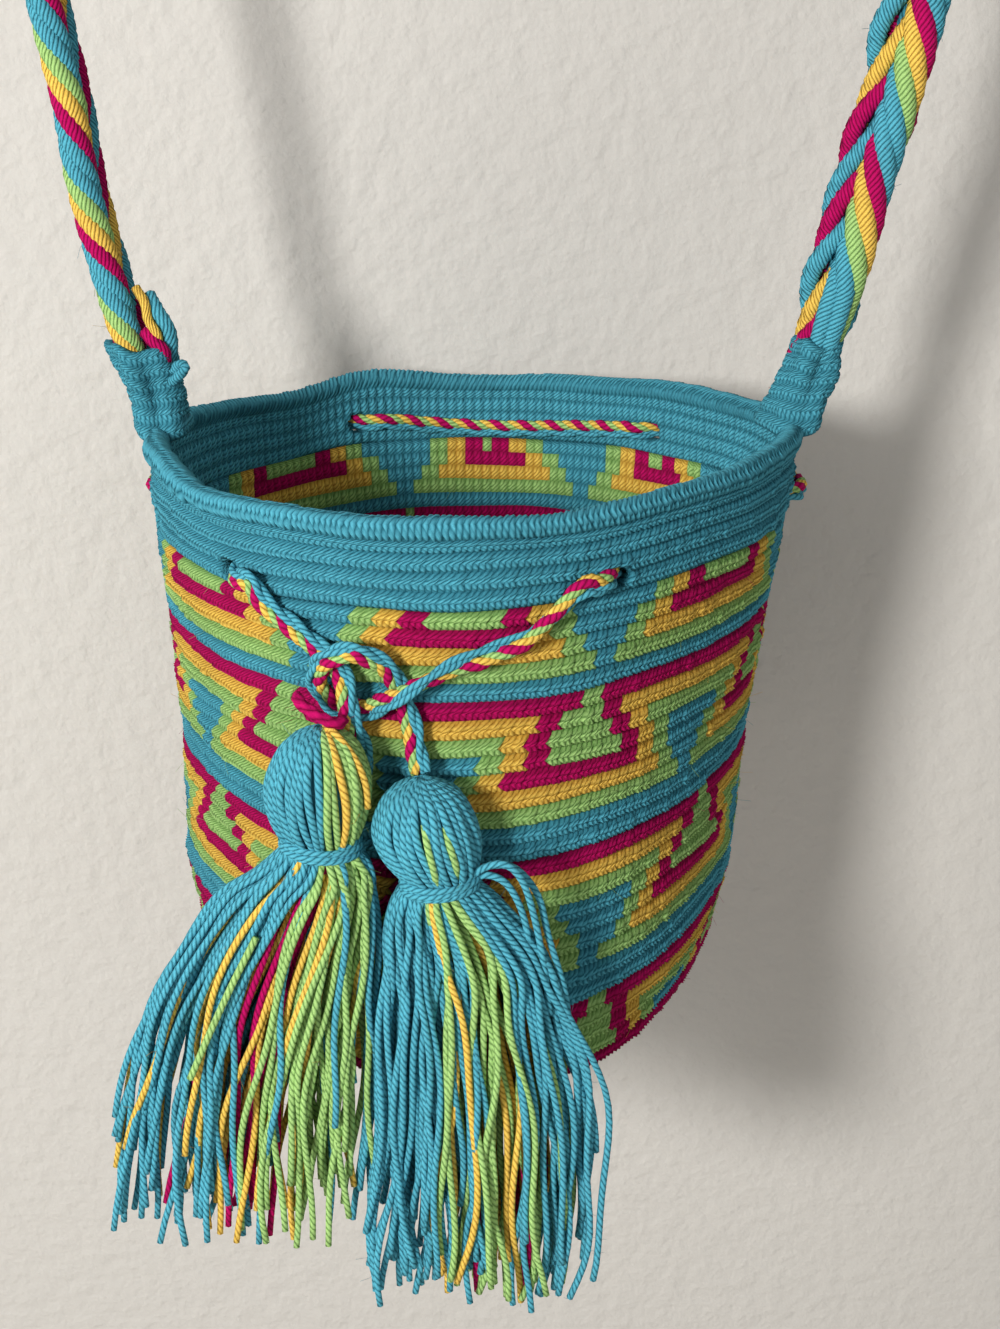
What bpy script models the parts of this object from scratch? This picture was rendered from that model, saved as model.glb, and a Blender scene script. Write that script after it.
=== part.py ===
"""Small crocheted shoulder bag with a corded strap, a laced drawstring and two tassels.

Lengths below are in millimetres, measured from the middle of the bag's rim. The row's own
origin is under the top of the strap, where a hook holds it, and everything is moved there
and turned into metres as it is built.
"""
import math

import bmesh
import bpy
from mathutils import Matrix, Vector

# Where the rim's middle lies from the row's origin.
RIM_ACROSS = 3.0
RIM_DROP = 353.0

# Crochet: stitches round the body, height of a row, cloth thickness and how far rows stand out.
STITCHES = 184
ROW_HEIGHT = 4.2
CLOTH = 3.0
RIDGE = 0.9
COLUMNS = 46

# Body: outer radius of the cloth at some depths under the rim.
DEPTHS = (0.0, 19.7, 40.7, 78.7, 117.1, 134.9)
RADII = (80.0, 78.8, 76.8, 74.8, 74.9, 71.5)
LIP_HEIGHT = 3.4
LIP_CLOTH = 4.5
RECESS_ROW = 3.8
PATTERN_TOP = 19.7
WALL_FOOT = 134.9
BASE_DEPTH = 141.5
BASE_FLAT_RADIUS = 60.0

# How the hanging cloth leans: sideways and backwards drift at the foot.
LEAN_LEFT = 1.96
LEAN_FRONT = 1.97
LEAN_DEPTH = 140.0

# Rim pulled up by the strap at its left and right ends.
PULL_LEFT = 3.5
PULL_RIGHT = 2.0

# Eyelets for the drawstring: azimuths, depth of their row, opening.
EYELETS = (229.5, 178.0, 115.7, 46.3, -8.0, -64.5)
EYELET_DEPTH = 16.0
EYELET_WIDE = 8.8
EYELET_TALL = 6.0

# Drawstring.
CORD_DIAMETER = 4.0
CORD_OUTSIDE = 3.5
CORD_INSIDE = -5.7
CROSSING_MIDDLE = -1.05
CROSSING_REACH = 5.8

# Strap: rise of its arch over the rim, section across its two ways, ply count and length of one turn of a ply.
STRAP_RISE = 360.0
STRAP_WIDE = 17.0
STRAP_THICK = 10.5
STRAP_END_WIDE = 10.0
STRAP_END_THICK = 8.0
STRAP_PLIES = 5
STRAP_LAY = 32.0
STRAP_GROOVE = 0.86
STRAP_STEP = 5.0
STRAP_TAPER = 26.0

# Crocheted sleeves round the strap's ends.
SLEEVE_HEIGHT = 18.5
SLEEVE_WALL = 2.0
SLEEVE_GAP = 0.95
SEAT_GAP = 0.3

# Tassels.
TASSEL_COLUMNS = 26
FLUTE = 0.055
BINDING_HEIGHT = 5.2
BINDING_WALL = 1.7
BINDING_GAP = 0.3
TIE_DIAMETER = 3.0
TIE_RING = 3.6

# Colours of the yarn.
TURQUOISE = (0.045, 0.328, 0.485)
MAGENTA = (0.376, 0.0012, 0.091)
YELLOW = (0.753, 0.429, 0.046)
LIME = (0.262, 0.515, 0.091)

# Where each band's cells of the woven pattern meet, in degrees round the body.
CELLS_1 = (188.0, 242.7, 292.0, 345.0, 379.0, 421.0, 462.5, 515.3, 548.0)
CELLS_2 = (184.0, 239.4, 291.1, 346.0, 380.0, 421.0, 462.5, 512.5, 544.0)
CELLS_3 = (182.8, 239.0, 296.0, 353.6, 391.4, 429.2, 467.0, 504.9, 542.8)
CELLS_4 = (186.0, 240.0, 293.2, 348.0, 386.0, 425.0, 465.0, 508.0, 546.0)


def yarn(name, colour):
    material = bpy.data.materials.new(name)
    material.use_nodes = True
    shader = material.node_tree.nodes["Principled BSDF"]
    shader.inputs["Base Color"].default_value = (*colour, 1.0)
    shader.inputs["Roughness"].default_value = 0.9
    material.diffuse_color = (*colour, 1.0)
    return material


def place(x, y, z):
    return Vector(((x - RIM_ACROSS) / 1000.0, y / 1000.0, (z - RIM_DROP) / 1000.0))


def between(x, xs, ys):
    if x <= xs[0]:
        return ys[0]
    for i in range(1, len(xs)):
        if x <= xs[i]:
            share = (x - xs[i - 1]) / (xs[i] - xs[i - 1])
            return ys[i - 1] + share * (ys[i] - ys[i - 1])
    return ys[-1]


def ease(x):
    x = min(max(x, 0.0), 1.0)
    return x * x * (3.0 - 2.0 * x)


def turn_from(azimuth, centre):
    return (azimuth - centre + 180.0) % 360.0 - 180.0


def hang(radius, azimuth, z):
    """Move a point of the round, upright bag to where the slumped cloth really hangs."""
    t = math.radians(azimuth)
    depth = min(-z / LEAN_DEPTH, 0.965)
    swell = (-0.006 - 0.030 * depth) * math.cos(2 * t) + (0.003 - 0.017 * depth) * math.sin(2 * t)
    swell += (0.020 - 0.049 * depth) * math.cos(3 * t) + (-0.006 + 0.069 * depth) * math.sin(3 * t)
    swell += 0.016 * math.cos(4 * t) - 0.003 * math.sin(4 * t)
    x = radius * (1.0 + swell) * math.cos(t) - LEAN_LEFT * depth
    y = radius * (1.0 + swell) * math.sin(t) - LEAN_FRONT * depth
    level = ease((BASE_DEPTH - 1.0 + z) / (BASE_DEPTH - 1.0 - WALL_FOOT))
    tilt = (0.021 - 0.012 * depth) * x + (0.007 + 0.050 * depth) * y
    pull = PULL_LEFT * math.exp(-(turn_from(azimuth, 184.0) / 20.0) ** 2)
    pull += PULL_RIGHT * math.exp(-(turn_from(azimuth, 348.0) / 20.0) ** 2)
    ripple = 0.5 * math.cos(3 * t + 3.6) + 0.5 * math.cos(4 * t + 3.8)
    z = z + tilt * level + (pull + ripple) * math.exp(z / 18.0)
    return x, y, z


def beside_wall(azimuth, z, outwards):
    x, y, z = hang(between(-z, DEPTHS, RADII) + outwards, azimuth, z)
    return x, y, z


def motif_colour(row, aside, half):
    """Colour in a triangle of the pattern: row from its apex, stitches beside its middle line."""
    gap = half - aside
    aside = aside * 14.0 / half if half < 13.0 else aside
    if row == 1:
        return 3 if aside < 1 else 1
    if row == 2:
        return 3 if aside < 2 else 1 if aside < 4 else 2
    if row == 3:
        return 3 if aside < 3 else 1 if aside < 5 else 2 if aside < 7 else 3
    if row == 4:
        return 0 if gap < 4 else 3 if gap < 6 else 2 if gap < 8 else 1 if gap < 10 else 3
    if row == 5:
        return 0 if gap < 3 else 3 if gap < 5 else 2 if gap < 7 else 1
    if row == 6:
        return 0 if gap < 2 else 3 if gap < 4 else 2
    if row == 7:
        return 0 if gap < 1 else 3
    return 0


def wall_colour(azimuth, z):
    """Slot number of the yarn at this place: 0 turquoise, 1 magenta, 2 yellow, 3 lime."""
    row = int((-z - PATTERN_TOP) // ROW_HEIGHT)
    if z > -PATTERN_TOP:
        return 0
    if row >= 27:
        return 1
    if row < 5:
        cells, apex_at_edge, motif_row = CELLS_1, False, row + 4
    elif row < 14:
        cells, apex_at_edge, motif_row = CELLS_2, True, row - 4
    elif row < 23:
        cells, apex_at_edge, motif_row = CELLS_3, False, row - 13
    else:
        cells, apex_at_edge, motif_row = CELLS_4, True, row - 22
    azimuth = cells[0] + (azimuth - cells[0]) % 360.0
    stitch = 360.0 / STITCHES
    for left, right in zip(cells, cells[1:]):
        if azimuth <= right:
            half = (right - left) / 2.0 / stitch
            from_edge = min(azimuth - left, right - azimuth) / stitch
            aside = from_edge if apex_at_edge else half - from_edge
            return motif_colour(motif_row, aside, half)
    return 0


def smooth_route(points, steps):
    """A smooth curve through hand-chosen points, read at equal shares between each two."""
    points = [Vector(p) for p in points]
    points = [2 * points[0] - points[1]] + points + [2 * points[-1] - points[-2]]
    route = []
    for i in range(1, len(points) - 2):
        a, b, c, d = points[i - 1:i + 3]
        for k in range(steps):
            t = k / steps
            route.append(0.5 * (2 * b + (c - a) * t + (2 * a - 5 * b + 4 * c - d) * t * t
                                + (3 * b - a - 3 * c + d) * t ** 3))
    route.append(points[-2])
    return route


def add_object(name, mesh, materials):
    thing = bpy.data.objects.new(name, mesh)
    bpy.context.scene.collection.objects.link(thing)
    for material in materials:
        mesh.materials.append(material)
    return thing


def finish_mesh(shape, name, materials):
    bmesh.ops.recalc_face_normals(shape, faces=shape.faces)
    mesh = bpy.data.meshes.new(name)
    shape.to_mesh(mesh)
    shape.free()
    return add_object(name, mesh, materials)


def loft(name, rings, materials):
    """Close a row of rings of points, each ring from its own section, into one solid."""
    shape = bmesh.new()
    loops = [[shape.verts.new(place(*p)) for p in ring] for ring in rings]
    count = len(loops[0])
    for upper, lower in zip(loops, loops[1:]):
        for j in range(count):
            k = (j + 1) % count
            shape.faces.new((upper[j], upper[k], lower[k], lower[j]))
    for loop in (loops[0], loops[-1]):
        middle = shape.verts.new(sum((v.co for v in loop), Vector()) / count)
        for j in range(count):
            shape.faces.new((loop[j], loop[(j + 1) % count], middle))
    return finish_mesh(shape, name, materials)


def turned(name, profile, steps, materials):
    """Spin a profile of (radius, height) round Z with a Screw modifier, still in millimetres."""
    mesh = bpy.data.meshes.new(name)
    mesh.from_pydata([(r, 0.0, z) for r, z in profile], [(i, i + 1) for i in range(len(profile) - 1)], [])
    thing = add_object(name, mesh, materials)
    screw = thing.modifiers.new("Screw", "SCREW")
    screw.axis = "Z"
    screw.angle = math.tau
    screw.steps = steps
    screw.render_steps = steps
    screw.use_merge_vertices = True
    screw.merge_threshold = 0.0001
    bpy.context.view_layer.update()
    solid = bpy.data.meshes.new_from_object(thing.evaluated_get(bpy.context.evaluated_depsgraph_get()))
    thing.modifiers.clear()
    thing.data = solid
    solid.name = name
    solid.materials.clear()
    for material in materials:
        solid.materials.append(material)
    return thing


def reshape(thing, move, colour=None):
    """Move each point of a turned solid by a rule, then face everything outwards."""
    shape = bmesh.new()
    shape.from_mesh(thing.data)
    bmesh.ops.remove_doubles(shape, verts=shape.verts, dist=0.0001)
    if colour:
        for face in shape.faces:
            middle = face.calc_center_median()
            azimuth = math.degrees(math.atan2(middle.y, middle.x))
            face.material_index = colour(azimuth, middle.z, math.hypot(middle.x, middle.y))
    for vert in shape.verts:
        radius = math.hypot(vert.co.x, vert.co.y)
        azimuth = math.degrees(math.atan2(vert.co.y, vert.co.x))
        vert.co = place(*move(radius, azimuth, vert.co.z))
    bmesh.ops.recalc_face_normals(shape, faces=shape.faces)
    shape.to_mesh(thing.data)
    shape.free()
    return thing


def body_profile():
    """Inside floor, inner wall, rolled lip, ridged outer wall, ridged rounds of the base."""
    profile = [(0.0, -BASE_DEPTH + CLOTH), (35.0, -BASE_DEPTH + CLOTH), (60.0, -BASE_DEPTH + CLOTH + 0.3)]
    profile.append((67.2, -WALL_FOOT + 0.4))
    for z in (-118.0, -98.0, -78.7, -59.0, -40.7, -27.0, -20.5, -11.5, -7.6):
        profile.append((between(-z, DEPTHS, RADII) - CLOTH, z))
    rim = RADII[0]
    profile += [(rim - LIP_CLOTH + 0.3, -4.0), (rim - LIP_CLOTH + 0.4, -1.4), (rim - 2.8, -0.2)]
    profile += [(rim - 1.0, -0.2), (rim + 0.5, -1.6), (rim - 0.2, -LIP_HEIGHT)]
    top = LIP_HEIGHT + RECESS_ROW
    profile += [(rim - 0.1, -LIP_HEIGHT - RECESS_ROW / 2), (rim - 0.9, -top)]
    upper = (PATTERN_TOP - top) / 3.0
    edges = [top + upper * i for i in range(4)]
    while edges[-1] + ROW_HEIGHT < WALL_FOOT:
        edges.append(edges[-1] + ROW_HEIGHT)
    for above, below in zip(edges, edges[1:]):
        middle = (above + below) / 2.0
        profile.append((between(middle, DEPTHS, RADII) + RIDGE, -middle))
        profile.append((between(below, DEPTHS, RADII), -below))
    profile += [(72.0, -135.6), (69.4, -138.2), (68.4, -140.4), (64.6, -140.2), (62.4, -BASE_DEPTH)]
    profile += [(BASE_FLAT_RADIUS, -BASE_DEPTH), (40.0, -BASE_DEPTH), (20.0, -BASE_DEPTH)]
    profile.append((0.0, -BASE_DEPTH))
    return profile


def make_body(yarns):
    def colour(azimuth, z, radius):
        if z < -WALL_FOOT or radius < 60.0:
            ring = int(radius / 12.0)
            return (1, 0, 1, 2, 3, 1, 1)[min(ring, 6)]
        return wall_colour(azimuth, z)

    body = turned("bag_body", body_profile(), COLUMNS, yarns)
    reshape(body, hang, colour)
    cutters = bpy.data.collections.new("cutters")
    bpy.context.scene.collection.children.link(cutters)
    for number, azimuth in enumerate(EYELETS):
        inner = place(*beside_wall(azimuth, -EYELET_DEPTH, -CLOTH - 3.0))
        outer = place(*beside_wall(azimuth, -EYELET_DEPTH, 4.0))
        along = (outer - inner).normalized()
        across = Vector((0.0, 0.0, 1.0)).cross(along).normalized()
        up = along.cross(across)
        shape = bmesh.new()
        bmesh.ops.create_cone(shape, cap_ends=True, segments=12, radius1=0.5, radius2=0.5, depth=1.0)
        frame = Matrix((across * EYELET_WIDE / 1000.0, up * EYELET_TALL / 1000.0,
                        along * (outer - inner).length)).transposed().to_4x4()
        frame.translation = (inner + outer) / 2.0
        bmesh.ops.recalc_face_normals(shape, faces=shape.faces)
        shape.transform(frame)
        mesh = bpy.data.meshes.new("eyelet_cutter_%d" % number)
        shape.to_mesh(mesh)
        shape.free()
        cutter = bpy.data.objects.new(mesh.name, mesh)
        cutters.objects.link(cutter)
        cutter.hide_render = True
        cutter.display_type = "WIRE"
        cut = body.modifiers.new(mesh.name, "BOOLEAN")
        cut.operation = "DIFFERENCE"
        cut.solver = "EXACT"
        cut.object = cutter
    return body


def strap_route():
    """Middle line of the strap: shares of the rim's radius and of the strap's rise."""
    left = [(-0.9650, 0.0117), (-1.0075, 0.0556), (-1.0725, 0.1250), (-1.1425, 0.2000),
            (-1.2163, 0.2822), (-1.2950, 0.3889), (-1.3350, 0.5000), (-1.3125, 0.6167),
            (-1.2050, 0.7361), (-0.9875, 0.8472), (-0.6500, 0.9389), (-0.3000, 0.9847)]
    right = [(0.3750, 0.9847), (0.7250, 0.9389), (1.0750, 0.8472), (1.2950, 0.7361), (1.4000, 0.6167),
             (1.4200, 0.5000), (1.3825, 0.3889), (1.3175, 0.2839), (1.2375, 0.2000), (1.1600, 0.1250),
             (1.0737, 0.0556), (1.0162, 0.0122)]
    shares = left + [(RIM_ACROSS / RADII[0], 1.0)] + right
    return smooth_route([(RADII[0] * out, 0.0, STRAP_RISE * up) for out, up in shares], 12)


def read_evenly(route, step):
    """Points at an even step along a dense route."""
    picked = [route[0]]
    total = sum((b - a).length for a, b in zip(route, route[1:]))
    count = round(total / step)
    target = total / count
    gone = 0.0
    for a, b in zip(route, route[1:]):
        length = (b - a).length
        while gone + length >= target * len(picked) and len(picked) < count:
            picked.append(a.lerp(b, (target * len(picked) - gone) / length))
        gone += length
    return picked + [route[-1]]


def make_strap(material):
    """Five plies laid into one flat rope; it turns from edge-on at the left to face-on."""
    points = read_evenly(strap_route(), STRAP_STEP)
    total = STRAP_STEP * (len(points) - 1)
    rings = []
    for i, point in enumerate(points):
        ahead = (points[min(i + 1, len(points) - 1)] - points[max(i - 1, 0)]).normalized()
        depth_way = Vector((0.0, 1.0, 0.0))
        side_way = ahead.cross(depth_way)
        gone = STRAP_STEP * i
        face = math.radians(90.0) * (1.0 - ease(gone / total))
        wide_way = side_way * math.cos(face) + depth_way * math.sin(face)
        thick_way = wide_way.cross(ahead)
        full = ease(min(gone, total - gone) / STRAP_TAPER)
        wide = (STRAP_END_WIDE + full * (STRAP_WIDE - STRAP_END_WIDE)) / 2.0
        thick = (STRAP_END_THICK + full * (STRAP_THICK - STRAP_END_THICK)) / 2.0
        ring = []
        for j in range(2 * STRAP_PLIES):
            angle = math.tau * (j / (2 * STRAP_PLIES) - gone / STRAP_LAY) - face
            reach = 1.0 if j % 2 == 0 else STRAP_GROOVE
            spot = point + reach * (wide * math.cos(angle) * wide_way + thick * math.sin(angle) * thick_way)
            ring.append(spot)
        rings.append(ring)
    return loft("strap", rings, [material])


def make_sleeve(name, material, side):
    """Crocheted tube that stands on the rim and holds one end of the strap."""
    azimuth = 180.0 if side < 0 else 0.0
    foot = Vector(hang(RADII[0] - 2.0, azimuth, 0.0))
    foot.z += SEAT_GAP - 0.05
    route = strap_route()
    beside = route[0] if side < 0 else route[-1]
    above = route[12] if side < 0 else route[-13]
    lean = (above.x - beside.x) / (above.z - beside.z)
    in_x = (STRAP_END_THICK if side < 0 else STRAP_END_WIDE) / 2.0 + SLEEVE_GAP
    in_y = (STRAP_END_WIDE if side < 0 else STRAP_END_THICK) / 2.0 + SLEEVE_GAP
    grow_x = (STRAP_THICK - STRAP_END_THICK if side < 0 else STRAP_WIDE - STRAP_END_WIDE) / 2.0
    grow_y = (STRAP_WIDE - STRAP_END_WIDE if side < 0 else STRAP_THICK - STRAP_END_THICK) / 2.0
    profile = []
    outer = ((0.0, 1.9), (2.1, 2.5), (4.2, 1.5), (6.3, 2.0), (8.4, 1.2), (10.5, 1.7), (12.6, 1.0), (14.7, 1.5),
             (16.8, 0.8), (SLEEVE_HEIGHT, 0.4))
    for height, out in reversed(outer):
        profile.append((2.0 + out / 10.0, height))
    profile.append((1.0, 0.0))
    for height in (6.0, 12.0, SLEEVE_HEIGHT):
        profile.append((1.0, height))
    profile.append(profile[0])

    def move(radius, turn, height):
        t = math.radians(turn)
        gone = max(0.0, height + foot.z - beside.z)
        full = ease(gone / STRAP_TAPER) if gone < STRAP_TAPER else 1.0
        half_x = in_x + full * grow_x
        half_y = in_y + full * grow_y
        if radius > 1.5:
            half_x += SLEEVE_WALL - 0.8 + (radius - 2.0) * 10.0
            half_y += SLEEVE_WALL - 0.8 + (radius - 2.0) * 10.0
        centre = beside.x + lean * (height + foot.z - beside.z)
        return centre + half_x * math.cos(t), half_y * math.sin(t), foot.z + height

    sleeve = turned(name, profile, 20, [material])
    return reshape(sleeve, move)


def crossing(azimuth, inwards):
    """The drawstring passes an eyelet on a slant, in or out, as it runs round the bag."""
    reach = CROSSING_REACH if inwards else -CROSSING_REACH
    shares = ((7.2, 1.0), (4.6, 0.94), (2.2, 0.66), (-2.2, -0.66), (-4.6, -0.94), (-7.2, -1.0))
    return [beside_wall(azimuth + turn, -EYELET_DEPTH, CROSSING_MIDDLE + share * reach)
            for turn, share in shares]


def cord_route():
    """Left tassel, knot, then round the bag through the six eyelets and back to the knot."""
    points = [(-22.9, -80.6, -60.4), (-21.7, -80.9, -54.6), (-22.9, -84.0, -48.4), (-24.1, -85.4, -43.6),
              (-24.4, -85.0, -39.4), (-25.5, -82.4, -35.6), (-28.6, -79.2, -32.4), (-35.4, -76.0, -27.4),
              (-43.2, -71.4, -22.4)]
    points += crossing(EYELETS[0], True)
    points += [beside_wall(a, -z, CORD_INSIDE) for a, z in ((213.0, 15.5), (203.5, 15.0), (194.0, 15.5))]
    points += crossing(EYELETS[1], False)
    points += [beside_wall(a, -z, CORD_OUTSIDE) for a, z in ((161.0, 15.5), (151.5, 15.0), (142.0, 15.0),
                                                             (132.5, 15.5))]
    points += crossing(EYELETS[2], True)
    points += [beside_wall(a, -z, CORD_INSIDE) for a, z in ((97.5, 14.2), (86.5, 13.4), (75.5, 13.4),
                                                            (64.5, 14.2))]
    points += crossing(EYELETS[3], False)
    points += [beside_wall(a, -z, CORD_OUTSIDE) for a, z in ((29.0, 15.5), (19.0, 15.0), (9.0, 15.5))]
    points += crossing(EYELETS[4], True)
    points += [beside_wall(a, -z, CORD_INSIDE) for a, z in ((-25.0, 15.5), (-35.5, 15.0), (-46.0, 15.5))]
    points += crossing(EYELETS[5], False)
    points += [(14.0, -82.6, -26.2), (5.0, -84.9, -29.4), (-3.4, -87.0, -32.2), (-9.4, -88.9, -35.2),
               (-13.4, -88.2, -38.0), (-17.2, -85.4, -40.9), (-20.6, -81.8, -43.6), (-24.6, -79.6, -45.0),
               (-29.4, -78.0, -43.4), (-32.0, -78.6, -38.6), (-31.4, -81.6, -33.6), (-28.4, -84.6, -30.0),
               (-23.4, -86.2, -28.2), (-18.2, -85.6, -30.2), (-14.8, -83.6, -34.2), (-13.0, -83.2, -39.0),
               (-11.2, -83.8, -44.4), (-10.0, -85.0, -50.4), (-8.9, -87.4, -55.9)]
    return points


def make_tube(name, points, diameter, material):
    curve = bpy.data.curves.new(name, "CURVE")
    curve.dimensions = "3D"
    curve.bevel_depth = diameter / 2000.0
    curve.bevel_resolution = 2
    curve.use_fill_caps = True
    spline = curve.splines.new("POLY")
    spline.points.add(len(points) - 1)
    for spot, point in zip(spline.points, points):
        spot.co = (*place(*point), 1.0)
    thing = add_object(name, curve, [material])
    return thing


def make_tassel(name, axis, materials):
    """A bundle folded over the cord: round head, bound neck and a long flat skirt of strands.

    Each line of the axis is x, y, z, half width, half depth.
    """
    rings = []
    spots = [Vector((x, y, z)) for x, y, z, a, b in axis]
    sizes = [Vector((a, b, 0.0)) for x, y, z, a, b in axis]
    steps = 3
    for spot, size in zip(smooth_route(spots, steps), smooth_route(sizes, steps)):
        ring = []
        for j in range(TASSEL_COLUMNS):
            angle = math.tau * j / TASSEL_COLUMNS
            reach = 1.0 + (FLUTE if j % 2 == 0 else -FLUTE)
            ring.append((spot.x + size.x * reach * math.cos(angle), spot.y + size.y * reach * math.sin(angle),
                         spot.z))
        rings.append(ring)
    ends = []
    for j, (x, y, z) in enumerate(rings[-1]):
        ends.append((x, y, z + 2.4 * math.sin(1.9 * j) - (2.6 if j % 2 == 0 else 0.0)))
    rings[-1] = ends
    last = spots[-1]
    rings.append([(last.x + 0.62 * (x - last.x), last.y + 0.62 * (y - last.y), last.z + 3.0)
                  for x, y, z in ends])
    return loft(name, rings, materials)


def make_binding(name, centre, half_wide, half_deep, material):
    """Yarn wound three times round a tassel's neck."""
    base = 10.0
    profile = [(base, BINDING_HEIGHT / 2)]
    third = BINDING_HEIGHT / 3.0
    for wrap in range(3):
        top = BINDING_HEIGHT / 2 - wrap * third
        profile += [(base + BINDING_WALL - 0.5, top), (base + BINDING_WALL, top - third / 2)]
    profile += [(base + BINDING_WALL - 0.5, -BINDING_HEIGHT / 2), (base, -BINDING_HEIGHT / 2)]
    profile.append(profile[0])

    def move(radius, turn, height):
        t = math.radians(turn)
        out = radius - base + BINDING_GAP
        return (centre[0] + (half_wide + out) * math.cos(t), centre[1] + (half_deep + out) * math.sin(t),
                centre[2] + height)

    return reshape(turned(name, profile, 20, [material]), move)


def make_tie(name, material):
    """Small ring of yarn that lies on the left tassel's head beside the cord."""
    shape = bmesh.new()
    bmesh.ops.create_circle(shape, segments=8, radius=TIE_DIAMETER / 2.0,
                            matrix=Matrix.Translation((TIE_RING, 0.0, 0.0)) @ Matrix.Rotation(math.pi / 2, 4, "X"))
    bmesh.ops.spin(shape, geom=shape.verts[:] + shape.edges[:], cent=(0.0, 0.0, 0.0), axis=(0.0, 0.0, 1.0),
                   angle=math.tau, steps=14, use_merge=True)
    bmesh.ops.remove_doubles(shape, verts=shape.verts, dist=0.0001)
    shape.transform(Matrix.Rotation(math.radians(27.0), 4, "Y"))
    for vert in shape.verts:
        vert.co = place(vert.co.x - 31.8, vert.co.y - 87.2, vert.co.z - 42.7)
    return finish_mesh(shape, name, [material])


def main():
    for thing in list(bpy.data.objects):
        bpy.data.objects.remove(thing, do_unlink=True)
    turquoise = yarn("yarn_turquoise", TURQUOISE)
    magenta = yarn("yarn_magenta", MAGENTA)
    yellow = yarn("yarn_yellow", YELLOW)
    lime = yarn("yarn_lime", LIME)
    make_body([turquoise, magenta, yellow, lime])
    make_strap(yarn("strap_plies", LIME))
    make_sleeve("strap_sleeve_left", yarn("sleeve_yarn_left", TURQUOISE), -1)
    make_sleeve("strap_sleeve_right", yarn("sleeve_yarn_right", TURQUOISE), 1)
    make_tube("drawstring", cord_route(), CORD_DIAMETER, yarn("drawstring_yarn", TURQUOISE))
    left_axis = [(-30.0, -88.8, -46.6, 4.8, 4.1), (-30.4, -89.8, -49.4, 8.2, 6.8), (-31.0, -90.4, -56.6, 10.9, 8.9),
                 (-31.3, -90.2, -64.4, 10.2, 8.5), (-31.1, -89.6, -71.2, 7.8, 6.8), (-32.4, -90.2, -77.4, 12.4, 7.8),
                 (-37.0, -90.4, -85.6, 17.8, 7.8), (-45.5, -91.0, -110.0, 24.6, 8.0),
                 (-51.0, -92.0, -136.0, 28.4, 8.4), (-54.2, -93.4, -167.0, 30.2, 8.6)]
    right_axis = [(-8.4, -90.8, -57.8, 5.0, 4.3), (-8.3, -91.6, -60.2, 8.6, 7.4), (-7.9, -92.4, -66.8, 11.0, 9.3),
                  (-6.6, -92.6, -73.2, 10.2, 8.8), (-5.0, -92.9, -78.6, 7.6, 6.8), (-3.6, -93.4, -84.6, 12.2, 7.8),
                  (0.3, -94.2, -96.0, 17.6, 8.0), (2.4, -94.8, -110.0, 20.8, 8.2), (4.2, -95.4, -134.0, 24.0, 8.8),
                  (4.4, -96.2, -161.0, 25.8, 9.2), (3.4, -96.6, -182.0, 25.0, 9.2)]
    make_tassel("tassel_left", left_axis, [yarn("tassel_yarn_left", TURQUOISE)])
    make_tassel("tassel_right", right_axis, [yarn("tassel_yarn_right", TURQUOISE)])
    make_binding("tassel_left_binding", (-31.2, -89.6, -70.8), 9.7, 8.6, yarn("binding_left", TURQUOISE))
    make_binding("tassel_right_binding", (-5.0, -92.9, -78.2), 10.2, 8.9, yarn("binding_right", TURQUOISE))
    make_tie("tassel_left_tie", yarn("tie_magenta", MAGENTA))


main()
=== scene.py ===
import math
import bmesh
import bpy
import numpy as np
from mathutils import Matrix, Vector


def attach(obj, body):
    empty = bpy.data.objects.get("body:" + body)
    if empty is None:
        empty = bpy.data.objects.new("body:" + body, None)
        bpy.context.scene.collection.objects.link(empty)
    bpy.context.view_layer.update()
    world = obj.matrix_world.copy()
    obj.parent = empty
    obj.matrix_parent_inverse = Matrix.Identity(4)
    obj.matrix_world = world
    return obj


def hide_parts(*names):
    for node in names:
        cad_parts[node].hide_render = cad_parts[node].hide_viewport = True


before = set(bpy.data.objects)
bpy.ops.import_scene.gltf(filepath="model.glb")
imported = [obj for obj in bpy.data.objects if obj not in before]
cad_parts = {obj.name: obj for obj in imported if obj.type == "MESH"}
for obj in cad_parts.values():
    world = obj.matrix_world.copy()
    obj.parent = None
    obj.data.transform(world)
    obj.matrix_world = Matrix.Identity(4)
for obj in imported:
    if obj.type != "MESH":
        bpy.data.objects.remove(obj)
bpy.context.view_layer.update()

# Same layout as the part's source: millimetres from the middle of the rim, moved to the row's origin.
RIM_ACROSS, RIM_DROP = 3.0, 353.0
STITCHES, ROW_HEIGHT = 184, 4.2
PITCH = 360.0 / STITCHES
DEPTHS = (0.0, 19.7, 40.7, 78.7, 117.1, 134.9)
RADII = (80.0, 78.8, 76.8, 74.8, 74.9, 71.5)
PATTERN_TOP, WALL_FOOT, BASE_DEPTH, CLOTH = 19.7, 134.9, 141.5, 3.0
EYELETS = (229.5, 178.0, 115.7, 46.3, -8.0, -64.5)
EYELET_DEPTH, EYELET_WIDE, EYELET_TALL = 16.0, 7.4, 5.2
BACK_EYELETS_HIGHER, EYELET_RADIUS = 2.2, 79.0
# Where the cord runs from the wall's outer face: outside, inside, and round the middle of an eyelet.
CORD_OUTSIDE, CORD_INSIDE, CROSSING_MIDDLE, CROSSING_REACH = 1.4, -5.7, -1.05, 5.2

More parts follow.
